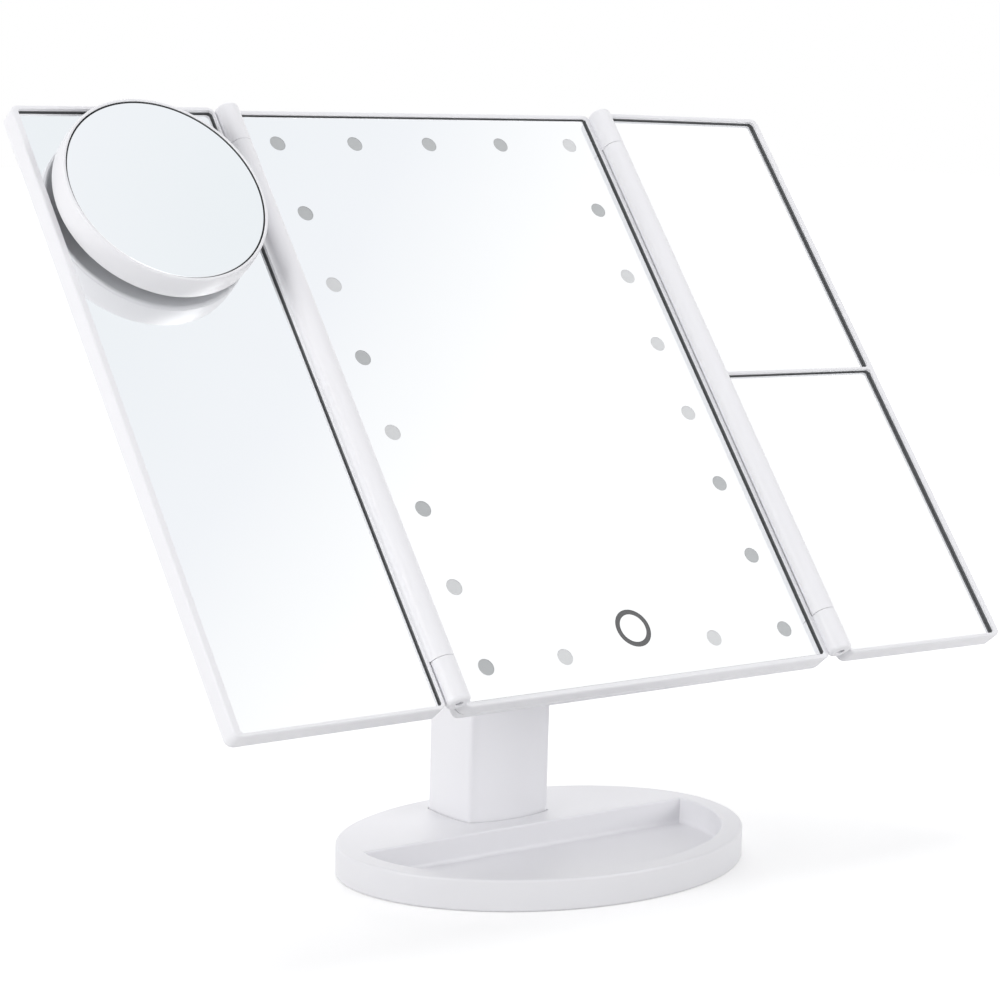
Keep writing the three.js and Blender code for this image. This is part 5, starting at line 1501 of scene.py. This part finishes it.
@dataclass
class SpotMirror:
    """Round magnifying mirror on a suction cup, drawn above the wing's glass."""

    standoff: float = 1.8
    depth: float = 11.1
    waist: float = 38.3
    bulge: float = 0.4
    rim: float = 1.1
    glass_drop: float = 0.5
    glass: float = 1.8
    glass_radius: float = 36.8
    dish: float = 1.06
    cup_radius: float = 15.0
    cup_foot: float = -1.15
    well: float = 3.4
    neck: float = 7.0
    steps: int = 168

    def housing(self) -> Skin:
        """Shell of revolution.

        Its side is the waist plus the bulge times one minus the squared distance from half height, and its
        edges are round.
        """
        low, top = self.standoff, self.standoff + self.depth
        seat = top - self.glass_drop - self.glass - FIT
        pocket = self.cup_radius + 0.7
        under = rounded_path([(0, low + self.well, 0), (pocket, low + self.well, 0.4), (pocket, low, 0.4),
                              (self.waist, low, 1.1), (self.waist, low + 3, 0)])[:-1]
        height = np.linspace(low + 1.3, top - 1.0, 14)
        share = (height - (low + top) / 2) / (self.depth / 2)
        side = np.stack([self.waist + self.bulge * (1 - share ** 2), height], -1)
        inner = self.waist - self.rim
        over = rounded_path([(self.waist, top - 3, 0), (self.waist, top, 0.5), (inner, top, 0.25),
                             (inner, top - 0.3, 0)])[1:]
        # The inner wall below the rim and the seat under the glass get painted shade, for the dark gap round
        # the glass.
        hidden = np.array([(inner, seat), (0, seat)], float)
        skin = Skin()
        white = skin.rings(lathe(np.concatenate([under, side, over]), self.steps))
        dark = skin.rings(lathe(hidden, self.steps), Inks.SEAL.value)
        skin.join(white[-1], dark[0], Inks.SEAL.value)
        return skin

    def mirror(self) -> Skin:
        """Dished glass.

        Its face lies below the rim by the dish times one minus the squared share of the radius.
        """
        top = self.standoff + self.depth - self.glass_drop
        share = np.linspace(0, 1, 40)
        face = np.stack([(self.glass_radius - 0.2) * share, top - self.dish * (1 - share ** 2)], -1)
        edge = np.array([(self.glass_radius, top - 0.2), (self.glass_radius, top - self.glass),
                         (0, top - self.glass)], float)
        return Skin().turned(np.concatenate([face, edge]), steps=self.steps)

    def suction_cup(self) -> Skin:
        """Cup with a thin skirt, a round neck and a lip."""
        ceiling = self.standoff + self.well - FIT
        foot = self.cup_foot
        path = rounded_path([(0, foot + 0.6, 0), (9, foot + 0.15, 0), (self.cup_radius - 1.1, foot, 0),
                             (self.cup_radius, foot, 0.1), (self.cup_radius, foot + 0.4, 0.15),
                             (11.0, foot + 1.2, 3.0), (self.neck, 2.2, 0.8), (self.neck, ceiling, 0.3),
                             (0, ceiling, 0)])
        return Skin().turned(path, steps=96)

    def build(self, bench: Bench) -> None:
        """Makes the pieces of the spot mirror."""
        bench.piece("spot_rim", self.housing(), SPOT, [WHITE, SEAL], ["spot_mirror_housing"])
        bench.piece("spot_mirror_face", self.mirror(), SPOT, [SILVER], ["spot_mirror_glass"])
        bench.piece("cup", self.suction_cup(), SPOT, [CUP], ["suction_cup"])


# Studio


AIM = (0.0, 0.0, 0.12)


def direct_rays(graph: Graph, path: bpy.types.Node, kinds: tuple[str, ...]) -> bpy.types.NodeSocket:
    """One for rays of the named kinds that have met no matt surface yet, and zero for the others."""
    seen = path.outputs[kinds[0]]
    for kind in kinds[1:]:
        seen = graph.maths("MAXIMUM", seen, path.outputs[kind])
    straight = graph.maths("LESS_THAN", path.outputs["Diffuse Depth"], 0.5)
    return graph.maths("MULTIPLY", seen, straight)


@dataclass(frozen=True)
class Lamp:
    """Soft square lamp aimed at the object."""

    name: str
    at: tuple[float, float, float]
    size: float
    power: float
    shines: bool = True

    def build(self) -> None:
        """Adds the lamp, aimed at the middle of the object."""
        light = bpy.data.lights.new(self.name, "AREA")
        light.shape = "SQUARE"
        light.size = self.size
        light.energy = self.power
        lamp = added(self.name, light)
        place = Matrix.Translation(self.at)
        aim = (place.translation - Matrix.Translation(AIM).translation).normalized()
        lamp.matrix_world = place @ aim.to_track_quat("Z", "Y").to_matrix().to_4x4()
        lamp.visible_glossy = self.shines
        lamp.visible_camera = False


@dataclass
class Studio:
    """Camera, white floor, world and lamps."""

    lens: float = 103.52
    camera_at: tuple[float, float, float] = (-640.604, -813.753, 288.632)
    heading: float = 37.22
    dip: float = 8.50
    roll: float = 1.519
    ambient: tuple[float, float, float] = (0.48, 0.48, 0.49)
    floor_colour: float = 0.72
    floor_lift: float = 0.42
    floor_half: float = 6.0
    floor_drop: float = 0.00005
    lift_grows: tuple[float, float] = (0.3, 1.2)
    sky: tuple[tuple[float, tuple[float, float, float]], ...] = (
        (0.745, (1.04, 1.04, 1.04)), (0.79, (0.91, 0.925, 0.955)), (0.845, (0.865, 0.895, 0.92)))
    lamps: tuple[Lamp, ...] = (
        Lamp("left_softbox", (-1.8, -0.2, 0.5), 0.8, 13.0),
        Lamp("front_softbox", (0.9, -1.6, 0.6), 0.8, 10.5),
        Lamp("back_softbox", (0.9, 1.5, 0.5), 0.8, 7.0, False),
        Lamp("top_softbox", (0.0, 0.5, 2.0), 1.4, 15.0, False),
    )

    def camera(self) -> None:
        """Adds the camera. Its heading turns from +Y towards +X, then it dips and rolls."""
        data = bpy.data.cameras.new("camera")
        data.lens = self.lens
        data.sensor_width = 36.0
        data.clip_end = 50.0
        camera = added("camera", data)
        turn = (turned_about(Axis.Z, -self.heading) @ turned_about(Axis.X, 90.0 - self.dip)
                @ turned_about(Axis.Z, self.roll))
        camera.matrix_world = Matrix((shifted(*np.array(self.camera_at) * MM) @ turn).tolist())
        bpy.context.scene.camera = camera

    def floor(self) -> None:
        """Adds the floor.

        It is a pale diffuse surface that keeps the shadow, lifted to white for the camera and for
        reflections.
        """
        half = self.floor_half
        mesh = bpy.data.meshes.new("floor")
        corners = [(-half, -half, 0), (half, -half, 0), (half, half, 0), (-half, half, 0)]
        mesh.from_pydata(corners, [], [(0, 1, 2, 3)])
        floor = added("floor", mesh)
        floor.location.z = -self.floor_drop
        made = bpy.data.materials.new("white_floor")
        made.use_nodes = True
        made.node_tree.nodes.clear()
        graph = Graph(made.node_tree)
        matt = graph.put("ShaderNodeBsdfDiffuse", {"Color": (*[self.floor_colour] * 3, 1)})
        path = graph.put("ShaderNodeLightPath")
        seen = direct_rays(graph, path, ("Is Camera Ray", "Is Glossy Ray", "Is Transmission Ray"))
        spot = graph.put("ShaderNodeTexCoord")
        away = graph.put("ShaderNodeVectorMath", {0: spot.outputs["Object"]}, operation="LENGTH")
        near, far = self.lift_grows
        reach = {0: away.outputs["Value"], 1: near, 2: far, 3: self.floor_lift, 4: 1.0}
        spread = graph.put("ShaderNodeMapRange", reach)
        lift = graph.maths("MULTIPLY", seen, spread.outputs[0])
        glow = graph.put("ShaderNodeEmission", {"Strength": lift})
        both = graph.put("ShaderNodeAddShader", {0: matt.outputs[0], 1: glow.outputs[0]})
        graph.put("ShaderNodeOutputMaterial", {"Surface": both.outputs[0]})
        mesh.materials.append(made)

    def world(self) -> None:
        """Sets the world.

        It is white for the camera, white that greys high up for reflections, and a soft ambient light.
        """
        world = bpy.data.worlds.new("studio")
        bpy.context.scene.world = world
        world.use_nodes = True
        world.node_tree.nodes.clear()
        graph = Graph(world.node_tree)
        way = graph.put("ShaderNodeTexCoord")
        height = graph.put("ShaderNodeSeparateXYZ", {0: way.outputs["Generated"]})
        ramp = graph.put("ShaderNodeValToRGB", {0: height.outputs[2]})
        stops = ramp.color_ramp.elements
        stops[0].position = self.sky[0][0]
        stops[1].position = self.sky[2][0]
        stops.new(self.sky[1][0])
        for stop, (_, colour) in zip(stops, self.sky):
            stop.color = (*colour, 1)
        path = graph.put("ShaderNodeLightPath")
        shine = direct_rays(graph, path, ("Is Glossy Ray", "Is Transmission Ray"))
        soft = graph.mixed(shine, (*self.ambient, 1), ramp.outputs[0])
        seen = graph.mixed(path.outputs["Is Camera Ray"], soft, (1, 1, 1, 1))
        sky = graph.put("ShaderNodeBackground", {"Color": seen, "Strength": 1.0})
        graph.put("ShaderNodeOutputWorld", {"Surface": sky.outputs[0]})

    def build(self) -> None:
        """Sets up the whole studio."""
        self.camera()
        self.floor()
        self.world()
        for lamp in self.lamps:
            lamp.build()
        bpy.context.scene.view_settings.view_transform = "Standard"


def main() -> None:
    """Builds the studio and every sub-assembly."""
    logging.basicConfig(level=logging.INFO, format="%(name)s: %(message)s")
    Studio().build()
    bench = Bench()
    column = Column()
    Base().build(bench, column)
    column.build(bench)
    TiltHinge().build(bench)
    CentrePanel().build(bench)
    Wing("right", RIGHT_WING, 2, 1.15).build(bench)
    Wing("left", LEFT_WING, 1, 1.0).build(bench)
    SpotMirror().build(bench)


if __name__ == "__main__":
    main()
